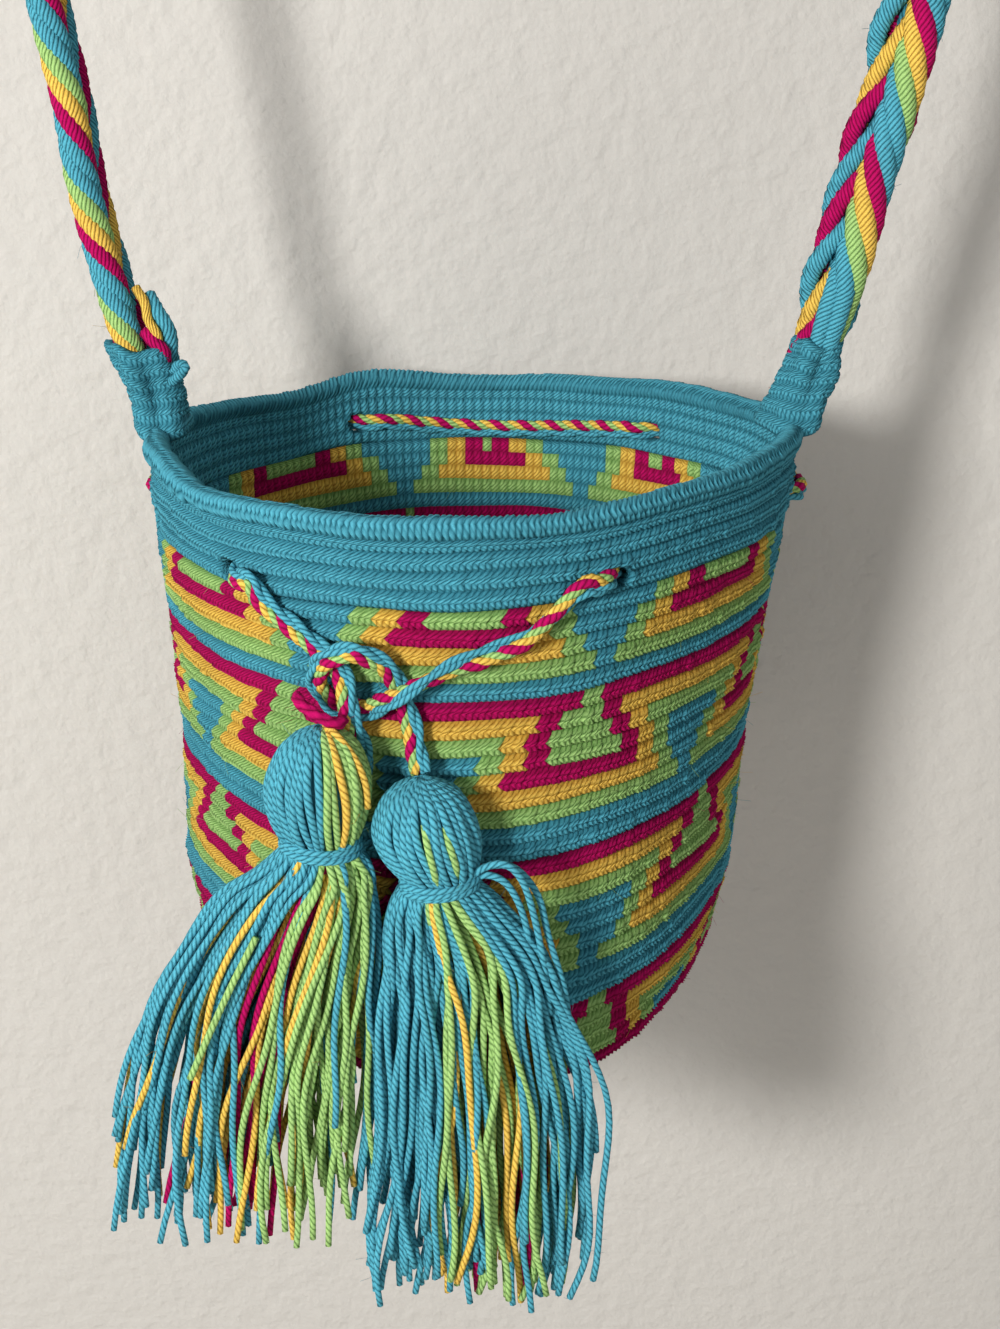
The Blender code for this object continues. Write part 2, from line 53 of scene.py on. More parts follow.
UPPER_ROUNDS, PATTERN_ROUNDS = 14, 27  # rounds in the upper piece, and in the whole pattern
UPPER_FOOT, PATTERN_FOOT = -PATTERN_TOP - UPPER_ROUNDS * ROW_HEIGHT, -133.1
PATTERN_LEAN = 0.69  # degrees by which the shapes drift left with each round, as the stitches lean
PER_STITCH = 4  # points round the bag for one stitch

TURQUOISE, MAGENTA, YELLOW, LIME = range(4)
# Each yarn: its name, its own colour, and a far darker colour painted as shade in the grooves and between the plies.
YARNS = (("turquoise", (0.092, 0.405, 0.525), (0.003, 0.066, 0.097)),
         ("magenta", (0.480, 0.003, 0.110), (0.130, 0.000, 0.022)),
         ("yellow", (0.830, 0.550, 0.105), (0.300, 0.140, 0.010)),
         ("lime", (0.380, 0.600, 0.205), (0.065, 0.165, 0.030)))

chance = np.random.RandomState(11)


def place(points):
    points = np.asarray(points, float)
    return (points - np.array([RIM_ACROSS, 0.0, RIM_DROP])) / 1000.0


def ease(x):
    x = np.clip(x, 0.0, 1.0)
    return x * x * (3.0 - 2.0 * x)


def turn_from(azimuth, centre):
    return (azimuth - centre + 180.0) % 360.0 - 180.0


RIM_WAVE = ((-12.0, 2.2), (0.0, 1.6), (16.0, 0.8), (33.0, 0.9), (51.0, 0.2), (66.0, -0.9), (87.0, -1.9), (100.0, -0.6),
            (113.0, 1.9), (121.0, 0.9), (129.0, -1.6), (141.0, -0.7), (152.0, 1.1), (164.0, 2.4), (184.0, 4.1),
            (204.0, 4.1), (213.0, 1.6), (222.0, 0.0), (243.0, 0.4), (262.0, 0.0), (285.0, -1.3), (304.0, -0.2),
            (318.0, 0.9), (331.0, 1.3), (342.0, 2.0), (348.0, 2.2))


def rim_wave(azimuth):
    """Height by which the soft rim rises or sags, smoothed over a few stitches."""
    at, rise = zip(*RIM_WAVE)
    return sum(np.interp(azimuth + turn, at, rise, period=360.0) for turn in (-5.0, -2.5, 0.0, 2.5, 5.0)) / 5.0


def hang(radius, azimuth, z):
    """Where a point of the round, upright bag really hangs in the slumped cloth."""
    t = np.radians(azimuth)
    depth = np.minimum(-z / 140.0, 0.965)
    swell = (-0.006 - 0.030 * depth) * np.cos(2 * t) + (0.003 - 0.017 * depth) * np.sin(2 * t)
    swell += (0.020 - 0.049 * depth) * np.cos(3 * t) + (-0.006 + 0.069 * depth) * np.sin(3 * t)
    swell += 0.016 * np.cos(4 * t) - 0.003 * np.sin(4 * t)
    x = radius * (1.0 + swell) * np.cos(t) - 1.96 * depth
    y = radius * (1.0 + swell) * np.sin(t) - 1.97 * depth
    level = ease((BASE_DEPTH - 1.0 + z) / (BASE_DEPTH - 1.0 - WALL_FOOT))
    tilt = (0.021 - 0.012 * depth) * x + (0.007 + 0.050 * depth) * y
    z = z + tilt * level + rim_wave(azimuth) * np.exp(z / 16.0)
    return np.stack(np.broadcast_arrays(x, y, z), -1)


def beside_wall(azimuth, z, outwards):
    return hang(np.interp(-z, DEPTHS, RADII) + outwards, azimuth, z)


def eyelet_depth(azimuth):
    return EYELET_DEPTH - (BACK_EYELETS_HIGHER if 20.0 < azimuth < 130.0 else 0.0)


# ---- the crocheted pattern, round by round ----

# Rows of a motif: each yarn with the stitch at which it ends, counted from the motif's middle in
# rows 1 to 3 and from its edge in rows 4 to 7. All other rows are turquoise.
TO_THE_END = 99
MOTIF_ROWS = {1: ((1, LIME), (TO_THE_END, MAGENTA)),
              2: ((2, LIME), (4, MAGENTA), (TO_THE_END, YELLOW)),
              3: ((3, LIME), (5, MAGENTA), (7, YELLOW), (TO_THE_END, LIME)),
              4: ((4, TURQUOISE), (6, LIME), (8, YELLOW), (10, MAGENTA), (TO_THE_END, LIME)),
              5: ((3, TURQUOISE), (5, LIME), (7, YELLOW), (TO_THE_END, MAGENTA)),
              6: ((2, TURQUOISE), (4, LIME), (TO_THE_END, YELLOW)),
              7: ((1, TURQUOISE), (TO_THE_END, LIME))}
NARROW_HALF, FULL_HALF = 13.0, 14.0  # half a motif in stitches, below which it is squeezed, and in full

# Bands of motifs: round after the last one, edges of the motifs round the bag, whether the point
# is at those edges, the round before the motif's row 1, and the round that has no lean.
BANDS = ((5, (188.0, 242.7, 292.0, 345.0, 379.0, 421.0, 462.5, 515.3, 548.0), False, -4, 4),
         (14, (184.0, 239.4, 291.1, 346.0, 380.0, 421.0, 462.5, 512.5, 544.0), True, 4, 5),
         (23, (182.8, 239.0, 296.0, 353.6, 391.4, 429.2, 467.0, 504.9, 542.8), False, 13, 14),
         (PATTERN_ROUNDS, (186.0, 240.0, 293.2, 348.0, 386.0, 425.0, 465.0, 508.0, 546.0), True, 22, 23))


def motif_colour(row, aside, half):
    if row not in MOTIF_ROWS:
        return TURQUOISE
    at = half - aside if row > 3 else aside * FULL_HALF / half if half < NARROW_HALF else aside
    return next(yarn for end, yarn in MOTIF_ROWS[row] if at < end)


def row_colour(azimuth, row):
    """Yarn of one stitch; row 0 is the first round of the pattern, below zero is plain."""
    if row < 0:
        return TURQUOISE
    if row >= PATTERN_ROUNDS:
        return MAGENTA
    cells, point_at_edge, before, straight = next(band[1:] for band in BANDS if row < band[0])
    azimuth = cells[0] + (azimuth + PATTERN_LEAN * (row - straight) - cells[0]) % 360.0
    for left, right in zip(cells, cells[1:]):
        if azimuth <= right:
            half = (right - left) / 2.0 / PITCH
            from_edge = min(azimuth - left, right - azimuth) / PITCH
            return motif_colour(row - before, from_edge if point_at_edge else half - from_edge, half)
    return TURQUOISE


# ---- yarn materials ----

class Wires:
    """Adds and joins the nodes of one shader tree."""

    def __init__(self, tree):
        self.tree = tree

    def node(self, kind, given=None, **settings):
        made = self.tree.nodes.new(kind)
        for key, value in settings.items():
            setattr(made, key, value)
        for socket, value in (given or {}).items():
            self.feed(value, made.inputs[socket])
        return made

    def feed(self, source, target):
        if hasattr(source, "is_output"):
            self.tree.links.new(source, target)
        else:
            target.default_value = source

    def math(self, operation, *values):
        return self.node("ShaderNodeMath", dict(enumerate(values)), operation=operation).outputs[0]

    def plus(self, first, second):
        return self.math("ADD", first, second)

    def times(self, first, second):
        return self.math("MULTIPLY", first, second)

    def mix(self, share, first, second, blend="MIX"):
        made = self.node("ShaderNodeMix", {0: share, 6: first, 7: second}, data_type="RGBA", blend_type=blend)
        return made.outputs[2]

    def noise(self, vector, scale, detail=2.0, rough=0.5):
        return self.node("ShaderNodeTexNoise", {"Vector": vector, "Scale": scale, "Detail": detail,
                                                "Roughness": rough}).outputs["Fac"]


def spun_yarn_group():
    """Colour and height of yarn: plies laid round the strand, fine fibres, uneven dye, painted shade between the plies
    and in the cloth's grooves, and painted glints on the fuzz.
    """
    group = bpy.data.node_groups.new("spun_yarn", "ShaderNodeTree")
    for side, label, kind in (("INPUT", "Yarn", "Color"), ("INPUT", "Painted shade", "Color"), ("INPUT", "Plies", "Float"),
                              ("INPUT", "Lay", "Float"), ("OUTPUT", "Color", "Color"), ("OUTPUT", "Height", "Float")):
        group.interface.new_socket(name=label, in_out=side, socket_type="NodeSocket" + kind)
    given, made = group.nodes.new("NodeGroupInput"), group.nodes.new("NodeGroupOutput")
    w = Wires(group)
    parts = w.node("ShaderNodeSeparateXYZ", {0: w.node("ShaderNodeUVMap", uv_map="strand").outputs[0]})
    around, along = parts.outputs[0], parts.outputs[1]
    spot = w.node("ShaderNodeTexCoord").outputs["Object"]
    relief = w.node("ShaderNodeAttribute", attribute_name="relief").outputs["Fac"]
    turn = w.plus(w.times(around, given.outputs["Plies"]), w.math("DIVIDE", along, given.outputs["Lay"]))
    wobble = w.times(w.noise(spot, 420.0, 1.0), 0.5)
    ply = w.math("ABSOLUTE", w.math("SINE", w.times(w.plus(turn, wobble), math.pi)))
    ply = w.math("POWER", ply, 0.72)
    fibre_place = w.node("ShaderNodeCombineXYZ", {
        0: w.times(w.plus(w.times(around, 3.0), w.times(along, 0.30)), 5.0),
        1: w.times(along, 0.9), 2: w.times(relief, 3.0)})
    fibre = w.noise(fibre_place.outputs[0], 1.6, 3.0, 0.65)
    fuzz = w.noise(spot, 2600.0, 3.0, 0.7)
    # painted shade: the valleys between the plies and the cloth's low places take the dark shade colour, the raised
    # yarn its own colour
    depth = w.times(ply, w.plus(0.25, w.times(relief, 0.75)))
    share = w.plus(w.times(depth, 0.95), w.times(w.math("SUBTRACT", fibre, 0.5), 0.55))
    share = w.math("MINIMUM", w.math("MAXIMUM", w.plus(share, 0.06), 0.0), 1.0)
    colour = w.mix(share, given.outputs["Painted shade"], given.outputs["Yarn"])
    dye = w.plus(0.82, w.times(w.noise(spot, 60.0, 3.0), 0.36))
    tone = w.node("ShaderNodeHueSaturation", {"Value": dye, "Color": colour})
    # painted highlight: bright glints on the fine fuzz
    glint = w.times(w.math("MAXIMUM", w.math("SUBTRACT", fuzz, 0.54), 0.0), 2.6)
    colour = w.mix(glint, tone.outputs[0], w.mix(1.0, tone.outputs[0], (1.7, 1.7, 1.6, 1.0), "MULTIPLY"))
    height = w.plus(w.times(ply, 0.7), w.times(fibre, 0.35))
    height = w.plus(height, w.times(fuzz, 0.25))
    w.feed(colour, made.inputs["Color"])
    w.feed(height, made.inputs["Height"])
    return group


def new_material(name, roughness):
    material = bpy.data.materials.new(name)
    material.use_nodes = True
    shader = material.node_tree.nodes["Principled BSDF"]
    shader.inputs["Roughness"].default_value = roughness
    return material, shader, Wires(material.node_tree)


def coat(w, shader, colour, height, distance, strength):
    """Joins a colour and a bump to a material's shader."""
    rise = w.node("ShaderNodeBump", {"Distance": distance, "Strength": strength, "Height": height})
    w.feed(colour, shader.inputs["Base Color"])
    w.feed(rise.outputs[0], shader.inputs["Normal"])


def yarn_material(group, name, colour, painted_shade, plies, lay, bump):
    material, shader, w = new_material(name, 0.88)
    shader.inputs["Specular IOR Level"].default_value = 0.12
    look = w.node("ShaderNodeGroup", node_tree=group)
    for label, value in (("Yarn", (*colour, 1.0)), ("Painted shade", (*painted_shade, 1.0)), ("Plies", plies), ("Lay", lay)):
        look.inputs[label].default_value = value
    coat(w, shader, look.outputs["Color"], look.outputs["Height"], bump, 0.9)
    material.diffuse_color = (*colour, 1.0)
    return material


yarn_group = spun_yarn_group()
CROCHET, STRAND, PLY, LAID = (
    [yarn_material(yarn_group, kind + name, colour, painted_shade, *feel) for name, colour, painted_shade in YARNS]
    for kind, *feel in (("crochet_", 2.0, 0.62, 0.00030), ("strand_", 3.0, 1.75, 0.00032),
                        ("ply_", 9.0, 2.6, 0.00045), ("laid_", 9.0, -2.6, 0.00045)))


# ---- meshes from points ----

def put_in_scene(name, data):
    thing = bpy.data.objects.new(name, data)
    bpy.context.scene.collection.objects.link(thing)
    return thing


class Pile:
    """Collects vertices, faces, strand coordinates, painted light (how lit or shaded each point is painted) and yarn
    numbers of one piece.
    """

    def __init__(self):
        self.points, self.faces, self.uvs, self.relief, self.yarns = [], [], [], [], []
        self.count = 0

    def add(self, points, faces, uvs, relief, yarns):
        points = np.reshape(points, (-1, 3))
        self.points.append(points)
        self.faces.append(faces + self.count)
        self.uvs.append(uvs)
        self.relief.append(np.broadcast_to(np.ravel(relief), len(points)))
        self.yarns.append(np.broadcast_to(yarns, len(faces)))
        self.count += len(points)

    def piece(self, name, materials):
        points = place(np.concatenate(self.points))
        faces = np.concatenate(self.faces)
        mesh = bpy.data.meshes.new(name)
        mesh.from_pydata(points.tolist(), [], faces.tolist())
        for material in materials:
            mesh.materials.append(material)
        mesh.polygons.foreach_set("material_index", np.concatenate(self.yarns).astype(np.int32))
        mesh.polygons.foreach_set("use_smooth", np.ones(len(faces), bool))
        layer = mesh.uv_layers.new(name="strand")
        layer.data.foreach_set("uv", np.concatenate(self.uvs).astype(np.float32).ravel())
        relief = mesh.attributes.new("relief", "FLOAT", "POINT")
        relief.data.foreach_set("value", np.concatenate(self.relief).astype(np.float32))
        mesh.update()
        thing = put_in_scene(name, mesh)
        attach(thing, "root")
        return thing


def grid_faces(rings, columns, wrap_rings):
    i = np.arange(rings if wrap_rings else rings - 1)
    j = np.arange(columns)
    i, j = np.meshgrid(i, j, indexing="ij")
    below, beside = (i + 1) % rings, (j + 1) % columns
    faces = np.stack((i * columns + j, below * columns + j, below * columns + beside, i * columns + beside), -1)
    return faces.reshape(-1, 4), i.ravel(), j.ravel()


def stitch_uvs(j, near, far):
    """Where the corners of each face lie on the yarn: stitches round the ring, rows across it."""
    return np.stack((np.stack((j, j, j + 1, j + 1), -1) / PER_STITCH, np.stack((near, far, far, near), -1)), -1)


def frames_along(path, lead):
    """Direction of a path at each point, and two ways across it, the first near the lead."""
    ahead = np.gradient(path, axis=0)
    ahead /= np.linalg.norm(ahead, axis=1)[:, None]
    first = lead - (lead * ahead).sum(1)[:, None] * ahead
    first /= np.linalg.norm(first, axis=1)[:, None]
    return ahead, first, np.cross(ahead, first)


def lengths_along(path):
    return np.concatenate(([0.0], np.cumsum(np.linalg.norm(np.diff(path, axis=0), axis=1))))


def end_caps(rings, sides):
    """Quads that close the first and the last ring of a tube."""
    caps = []
    for ring, flip in ((0, False), (rings - 1, True)):
        loop = ring * sides + np.arange(sides)
        for k in range(1, sides - 1, 2):
            quad = [loop[0], loop[k], loop[k + 1], loop[(k + 2) % sides]]
            if len(set(quad)) == 4:
                caps.append(quad if flip else quad[::-1])
    return np.array(caps)


TO_THE_FRONT = (0.13, -0.99, 0.05)


def add_strand(pile, path, radius, yarn, sides=6, lobes=0, lobe_depth=0.0, lobe_lay=8.0, relief=0.9,
               lead=TO_THE_FRONT):
    """A round or lobed strand along a path, closed at both ends."""
    n = len(path)
    ahead, first, second = frames_along(path, lead)
    gone = lengths_along(path)
    angle = 2 * np.pi * np.arange(sides) / sides
    radius = np.broadcast_to(radius, n)
    reach = radius[:, None] * np.ones(sides)
    if lobes:
        angle = angle[None, :] + 2 * np.pi * gone[:, None] / lobe_lay
        reach = reach * (1.0 + lobe_depth * np.cos(lobes * 2 * np.pi * np.arange(sides) / sides))[None, :]
    else:
        angle = np.tile(angle, (n, 1))
    points = (path[:, None, :] + reach[..., None] * (np.cos(angle)[..., None] * first[:, None, :]
                                                     + np.sin(angle)[..., None] * second[:, None, :]))
    faces, i, j = grid_faces(n, sides, False)
    faces = faces[:, ::-1]
    u = np.stack((j + 1, j + 1, j, j), -1) / sides
    v = np.stack((gone[i], gone[i + 1], gone[i + 1], gone[i]), -1)
    uvs = np.stack((u, v), -1)
    caps = end_caps(n, sides)
    faces = np.concatenate((faces, caps))
    uvs = np.concatenate((uvs, np.zeros((len(caps), 4, 2))))
    pile.add(points, faces, uvs, relief, yarn)


def smooth_route(points, steps):
    """The same smooth curve through given points as in the part's source."""
    points = np.asarray(points, float)
    points = np.concatenate(([2 * points[0] - points[1]], points, [2 * points[-1] - points[-2]]))
    t = (np.arange(steps) / steps)[:, None]
    route = []
    for i in range(1, len(points) - 2):
        a, b, c, d = points[i - 1:i + 3]
        route.append(0.5 * (2 * b + (c - a) * t + (2 * a - 5 * b + 4 * c - d) * t ** 2
                            + (3 * b - a - 3 * c + d) * t ** 3))
    return np.concatenate(route + [points[-2:-1]])


def evenly(path, step):
    gone = lengths_along(path)
    marks = np.linspace(0.0, gone[-1], max(2, round(gone[-1] / step) + 1))
    return np.stack([np.interp(marks, gone, path[:, k]) for k in range(3)], -1)


FIBRE_RADIUS, FIBRE_SHORTEST, FIBRE_LONGEST, FIBRE_SWAY = 0.038, 0.6, 2.1, 0.55


def add_fuzz(pile, count, seed):
    """Short fine fibres that stand off the yarns of a pile, each in its own yarn's colour."""
    rng = np.random.RandomState(seed)
    points, faces, yarns = np.concatenate(pile.points), np.concatenate(pile.faces), np.concatenate(pile.yarns)
    picked = rng.choice(len(faces), count, replace=False)
    corners = points[faces[picked]]
    away = np.cross(corners[:, 2] - corners[:, 0], corners[:, 3] - corners[:, 1])
    size = np.linalg.norm(away, axis=1)
    for k in np.flatnonzero(size > 1e-4):
        out = away[k] / size[k]
        sway = rng.normal(0.0, FIBRE_SWAY, 3)
        reach = rng.uniform(FIBRE_SHORTEST, FIBRE_LONGEST)
        t = np.array([-0.15, 0.45, 1.0])[:, None] * reach
        line = corners[k].mean(0) + out * t + sway * t * np.abs(t) / 1.2
        add_strand(pile, line, FIBRE_RADIUS, yarns[picked[k]], sides=4, relief=1.0,
                   lead=np.cross(out, out[[1, 2, 0]] + 0.2))


# ---- crocheted cloth ----

# A round's cross-section: share of its height, bulge, depth of the stitches' strokes and how raised
# the yarn is, which sets its painted light (painted shade in the grooves); then the shape of a stitch across its own
# points, outside and inside the bag.
LEG_SHEAR = 0.78
OUTER_V = np.array([0.0, 0.13, 0.30, 0.5, 0.70, 0.87])
OUTER_BULGE = np.array([-0.75, 0.48, 1.10, 0.98, 1.10, 0.48])
OUTER_STROKE = np.array([0.15, 0.80, 1.15, 0.75, 1.15, 0.80])
OUTER_PAINTED_LIGHT = np.array([0.0, 0.50, 1.0, 0.80, 0.95, 0.40])
STROKE = np.array([-0.52, 0.28, -0.16, 0.28])
BAR = np.array([-0.60, 0.24, 0.36, 0.24])
UNEVEN_STITCHES = 0.17


class Cloth:
    """Rings of one crocheted band, listed once round its closed cross-section."""

    def __init__(self):
        self.rings = []

    def ring(self, radius, z, way, row, v, shear, inner, amount, relief):
        self.rings.append((radius, z, way[0], way[1], row, v, shear, inner, amount, relief))

    def outer_row(self, top, bottom, row, lift=1.0, stroke=1.0):
        (r0, z0), (r1, z1) = top, bottom
        along = np.array([r1 - r0, z1 - z0])
        along /= np.hypot(*along)
        way = (-along[1], along[0])
        for v, bulge, deep, relief in zip(OUTER_V, OUTER_BULGE, OUTER_STROKE, OUTER_PAINTED_LIGHT):
            out = bulge * lift
            self.ring(r0 + (r1 - r0) * v + way[0] * out, z0 + (z1 - z0) * v + way[1] * out, way, row, v,
                      LEG_SHEAR * abs(2 * v - 1), 0, deep * stroke, relief)

    def head(self, top, row):
        """The ring that closes a band's upper edge."""
        self.ring(wall(top, -CLOTH + 0.2), top - 0.03, (-1.0, 0.0), row, 0.0, LEG_SHEAR, 1, 0.0, 0.0)

    def foot(self, bottom, row):
        """The two rings that close a band's lower edge."""
        for out, amount in ((-0.3, 0.25), (-CLOTH + 0.3, 0.0)):
            self.ring(wall(bottom, out), bottom, (1.0, 0.0), row, 1.0, LEG_SHEAR, 0, amount, 0.0)

    def inner_row(self, bottom, top, row, samples):
        (r0, z0), (r1, z1) = bottom, top
        for k in range(samples):
            v = k / samples
            out = 0.45 * math.sin(math.pi * v) ** 0.6 - 0.25 if v else -0.25
            # the ring at the row's foot is painted almost fully in shade
            self.ring(r0 + (r1 - r0) * v - out, z0 + (z1 - z0) * v, (-1.0, 0.0), row, v, LEG_SHEAR, 1,
                      1.0 if v else 0.35, 0.85 if v else 0.05)

    def add_to(self, pile, eyelets=False):
        radius, z, way_r, way_z, row, v, shear, inner, amount, relief = np.array(self.rings, float).T[:, :, None]
        columns = STITCHES * PER_STITCH
        j = np.arange(columns)
        part = j % PER_STITCH
        azimuth = (j / PER_STITCH + shear) * PITCH
        shape = np.where(inner > 0.5, BAR[part], STROKE[part])
        rows = row[:, 0].astype(int)
        uneven = chance.normal(0.0, 1.0, (rows.max() - rows.min() + 2, STITCHES))
        uneven = uneven[rows - rows.min()][:, j // PER_STITCH] * (part > 0) * UNEVEN_STITCHES
        slack = 0.30 * np.sin(np.radians(azimuth * 7 + row * 61))
        slack = slack + 0.22 * np.sin(np.radians(azimuth * 17 + row * 143))
        out = shape * amount + uneven * amount
        r = radius + way_r * out + slack * 0.55
        h = z + way_z * out + 0.20 * np.sin(np.radians(azimuth * 11 + z * 9))
        if eyelets:
            for centre in EYELETS:
                across = turn_from(azimuth, centre) * np.radians(EYELET_RADIUS)
                reach = np.hypot(across / (EYELET_WIDE / 2), (h + eyelet_depth(centre)) / (EYELET_TALL / 2))
                ridge = np.exp(-((reach - 1.28) / 0.30) ** 2) * 0.55
                r = r + np.where(way_r > 0, ridge, -0.6 * ridge)
        faces, i, j = grid_faces(len(rows), columns, True)
        yarns = np.empty(len(faces), int)
        for k in np.unique(rows):
            table = np.array([row_colour((stitch + 0.5) * PITCH, k) for stitch in range(STITCHES)])
            here = rows[i] == k
            yarns[here] = table[j[here] // PER_STITCH]
        # painted light and shade: raised yarn and the tops of the strokes painted lighter, the gaps between stitches
        # darker
        tone = relief * (0.60 + 0.40 * np.clip(shape / 0.28, -1.2, 1.0))
        along = (row + v)[:, 0]
        ahead = along[(i + 1) % len(rows)] - along[i]
        step = np.where(np.abs(ahead) > 1.5, 0.1, ahead)
        pile.add(hang(r, azimuth, h), faces, stitch_uvs(j, along[i] * 2.0, (along[i] + step) * 2.0),
                 np.clip(tone, 0.0, 1.0), yarns)


def wall(z, out=0.0):
    return float(np.interp(-z, DEPTHS, RADII)) + out


def wall_rows(cloth, first, last):
    for k in range(first, last):
        top, bottom = -PATTERN_TOP - ROW_HEIGHT * k, -PATTERN_TOP - ROW_HEIGHT * (k + 1)
        cloth.outer_row((wall(top), top), (wall(bottom), bottom), k)


def inner_rows(cloth, first, last, samples):
    for k in range(last - 1, first - 1, -1):
        top, bottom = -PATTERN_TOP - ROW_HEIGHT * k, -PATTERN_TOP - ROW_HEIGHT * (k + 1)
        cloth.inner_row((wall(bottom, -CLOTH), bottom), (wall(top, -CLOTH), top), k, samples)


LIP_FOOT, RECESS_FOOT = -4.0, -7.2
EYELET_THROUGH, EYELET_NEAR = 0.009, 0.0065  # metres from an eyelet's middle, along and all round


def make_rim():
    """Rolled edge, the flatter round under it and three plain rounds, with six eyelets."""
    cloth = Cloth()
    edges = [RECESS_FOOT - (PATTERN_TOP + RECESS_FOOT) / 3.0 * k for k in range(4)]
    for k in (3, 2, 1):
        cloth.inner_row((wall(edges[k], -CLOTH), edges[k]), (wall(edges[k - 1], -CLOTH), edges[k - 1]), -k, 4)
    cloth.inner_row((wall(RECESS_FOOT, -CLOTH), RECESS_FOOT), (wall(LIP_FOOT, -CLOTH), LIP_FOOT), -4, 4)
    lip = ((-3.6, -4.2, -1.0, -0.2, 0.0, 0.1, 0.05), (-4.5, -2.9, -0.97, 0.2, 0.06, 0.7, 0.5),
           (-4.3, -1.3, -0.8, 0.6, 0.14, 1.0, 0.9), (-3.1, -0.1, -0.35, 0.93, 0.20, 0.6, 0.95),
           (-1.5, 0.5, 0.1, 0.99, 0.30, 0.45, 1.0), (0.0, 0.3, 0.55, 0.83, 0.42, 0.45, 1.0),
           (0.9, -0.6, 0.9, 0.42, 0.52, 0.6, 0.9), (1.2, -1.7, 1.0, 0.1, 0.68, 1.15, 1.0),
           (1.1, -2.9, 1.0, -0.1, 0.84, 1.1, 0.9), (0.45, -4.0, 0.9, -0.4, 0.98, 0.8, 0.45))
    for r, z, way_r, way_z, v, amount, relief in lip:
        shear = LEG_SHEAR * abs(2 * max(v, 0.0) - 1)
        cloth.ring(80.0 + r, z, (way_r, way_z), -5, v, shear, 0, amount * 1.35, relief)
    cloth.outer_row((79.7, -4.4), (79.3, RECESS_FOOT), -4, 0.36, 0.7)
    for k in range(3):
        cloth.outer_row((wall(edges[k], -0.15 if k else -0.5), edges[k]), (wall(edges[k + 1], -0.15), edges[k + 1]),
                        k - 3, 0.92)
    cloth.foot(-PATTERN_TOP, -1)
    pile = Pile()
    cloth.add_to(pile, eyelets=True)
    rim = pile.piece("body_rim", CROCHET)
    cut_eyelets(rim)
    return rim


def cut_eyelets(rim):
    """Open six eyelets through both faces of the cloth, close each one's wall and paint shade on and round it."""
    shape = bmesh.new()
    shape.from_mesh(rim.data)
    relief = shape.verts.layers.float["relief"]
    for azimuth in EYELETS:
        outer = Vector(place(beside_wall(azimuth, -eyelet_depth(azimuth), 0.0)))
        inner = Vector(place(beside_wall(azimuth, -eyelet_depth(azimuth), -CLOTH)))
        way = (outer - inner).normalized()
        across = Vector((0, 0, 1)).cross(way).normalized()
        up = way.cross(across)

        def reach(point):
            """How far out a point lies, in shares of the eyelet's size."""
            gap = point - outer
            if abs(gap.dot(way)) > EYELET_THROUGH:
                return math.inf
            return math.hypot(gap.dot(across) / (EYELET_WIDE / 2000.0), gap.dot(up) / (EYELET_TALL / 2000.0))

        gone = [face for face in shape.faces if reach(face.calc_center_median()) < 1.0]
        bmesh.ops.delete(shape, geom=gone, context="FACES")
        bmesh.ops.bridge_loops(shape, edges=[e for e in shape.edges if e.is_boundary])
        # painted shade on the eyelet's wall and the cloth just round it
        for v in shape.verts:
            if (v.co - outer).length < EYELET_NEAR and reach(v.co) < 1.12:
                v[relief] = min(v[relief], 0.25)
    loose = [v for v in shape.verts if not v.link_faces]
    bmesh.ops.delete(shape, geom=loose, context="VERTS")
    bmesh.ops.recalc_face_normals(shape, faces=shape.faces)
    shape.to_mesh(rim.data)
    shape.free()


def make_upper():
    cloth = Cloth()
    inner_rows(cloth, 0, UPPER_ROUNDS, 3)
    cloth.head(-PATTERN_TOP, 0)
    wall_rows(cloth, 0, UPPER_ROUNDS)
    cloth.foot(UPPER_FOOT, UPPER_ROUNDS - 1)
    pile = Pile()
    cloth.add_to(pile)
    add_fuzz(pile, 420, 22)
    return pile.piece("body_upper_pattern", CROCHET)


def make_lower():
    cloth = Cloth()
    cloth.inner_row((66.9, -137.2), (wall(PATTERN_FOOT, -CLOTH), PATTERN_FOOT), PATTERN_ROUNDS, 2)
    inner_rows(cloth, UPPER_ROUNDS, PATTERN_ROUNDS, 2)
    cloth.head(UPPER_FOOT, UPPER_ROUNDS)
    wall_rows(cloth, UPPER_ROUNDS, PATTERN_ROUNDS)
    cloth.outer_row((wall(PATTERN_FOOT), PATTERN_FOOT), (71.6, -137.0), PATTERN_ROUNDS)
    cloth.outer_row((71.5, -137.1), (68.6, -140.3), 28)
    cloth.ring(68.2, -140.2, (0.0, -1.0), 28, 1.0, LEG_SHEAR, 0, 0.2, 0.0)
    cloth.ring(67.0, -138.4, (0.0, -1.0), 28, 1.0, LEG_SHEAR, 0, 0.0, 0.0)
    pile = Pile()
    cloth.add_to(pile)
    add_fuzz(pile, 700, 23)
    return pile.piece("body_lower_pattern", CROCHET)


BASE_YARNS = (MAGENTA, MAGENTA, TURQUOISE, TURQUOISE, LIME, YELLOW, MAGENTA, MAGENTA, TURQUOISE, TURQUOISE,
              TURQUOISE, LIME, YELLOW, MAGENTA, MAGENTA, TURQUOISE, TURQUOISE)
STITCH_WIDE, ROPE_STEP, ROPE_SIDES = 2.69, 4.05, 8


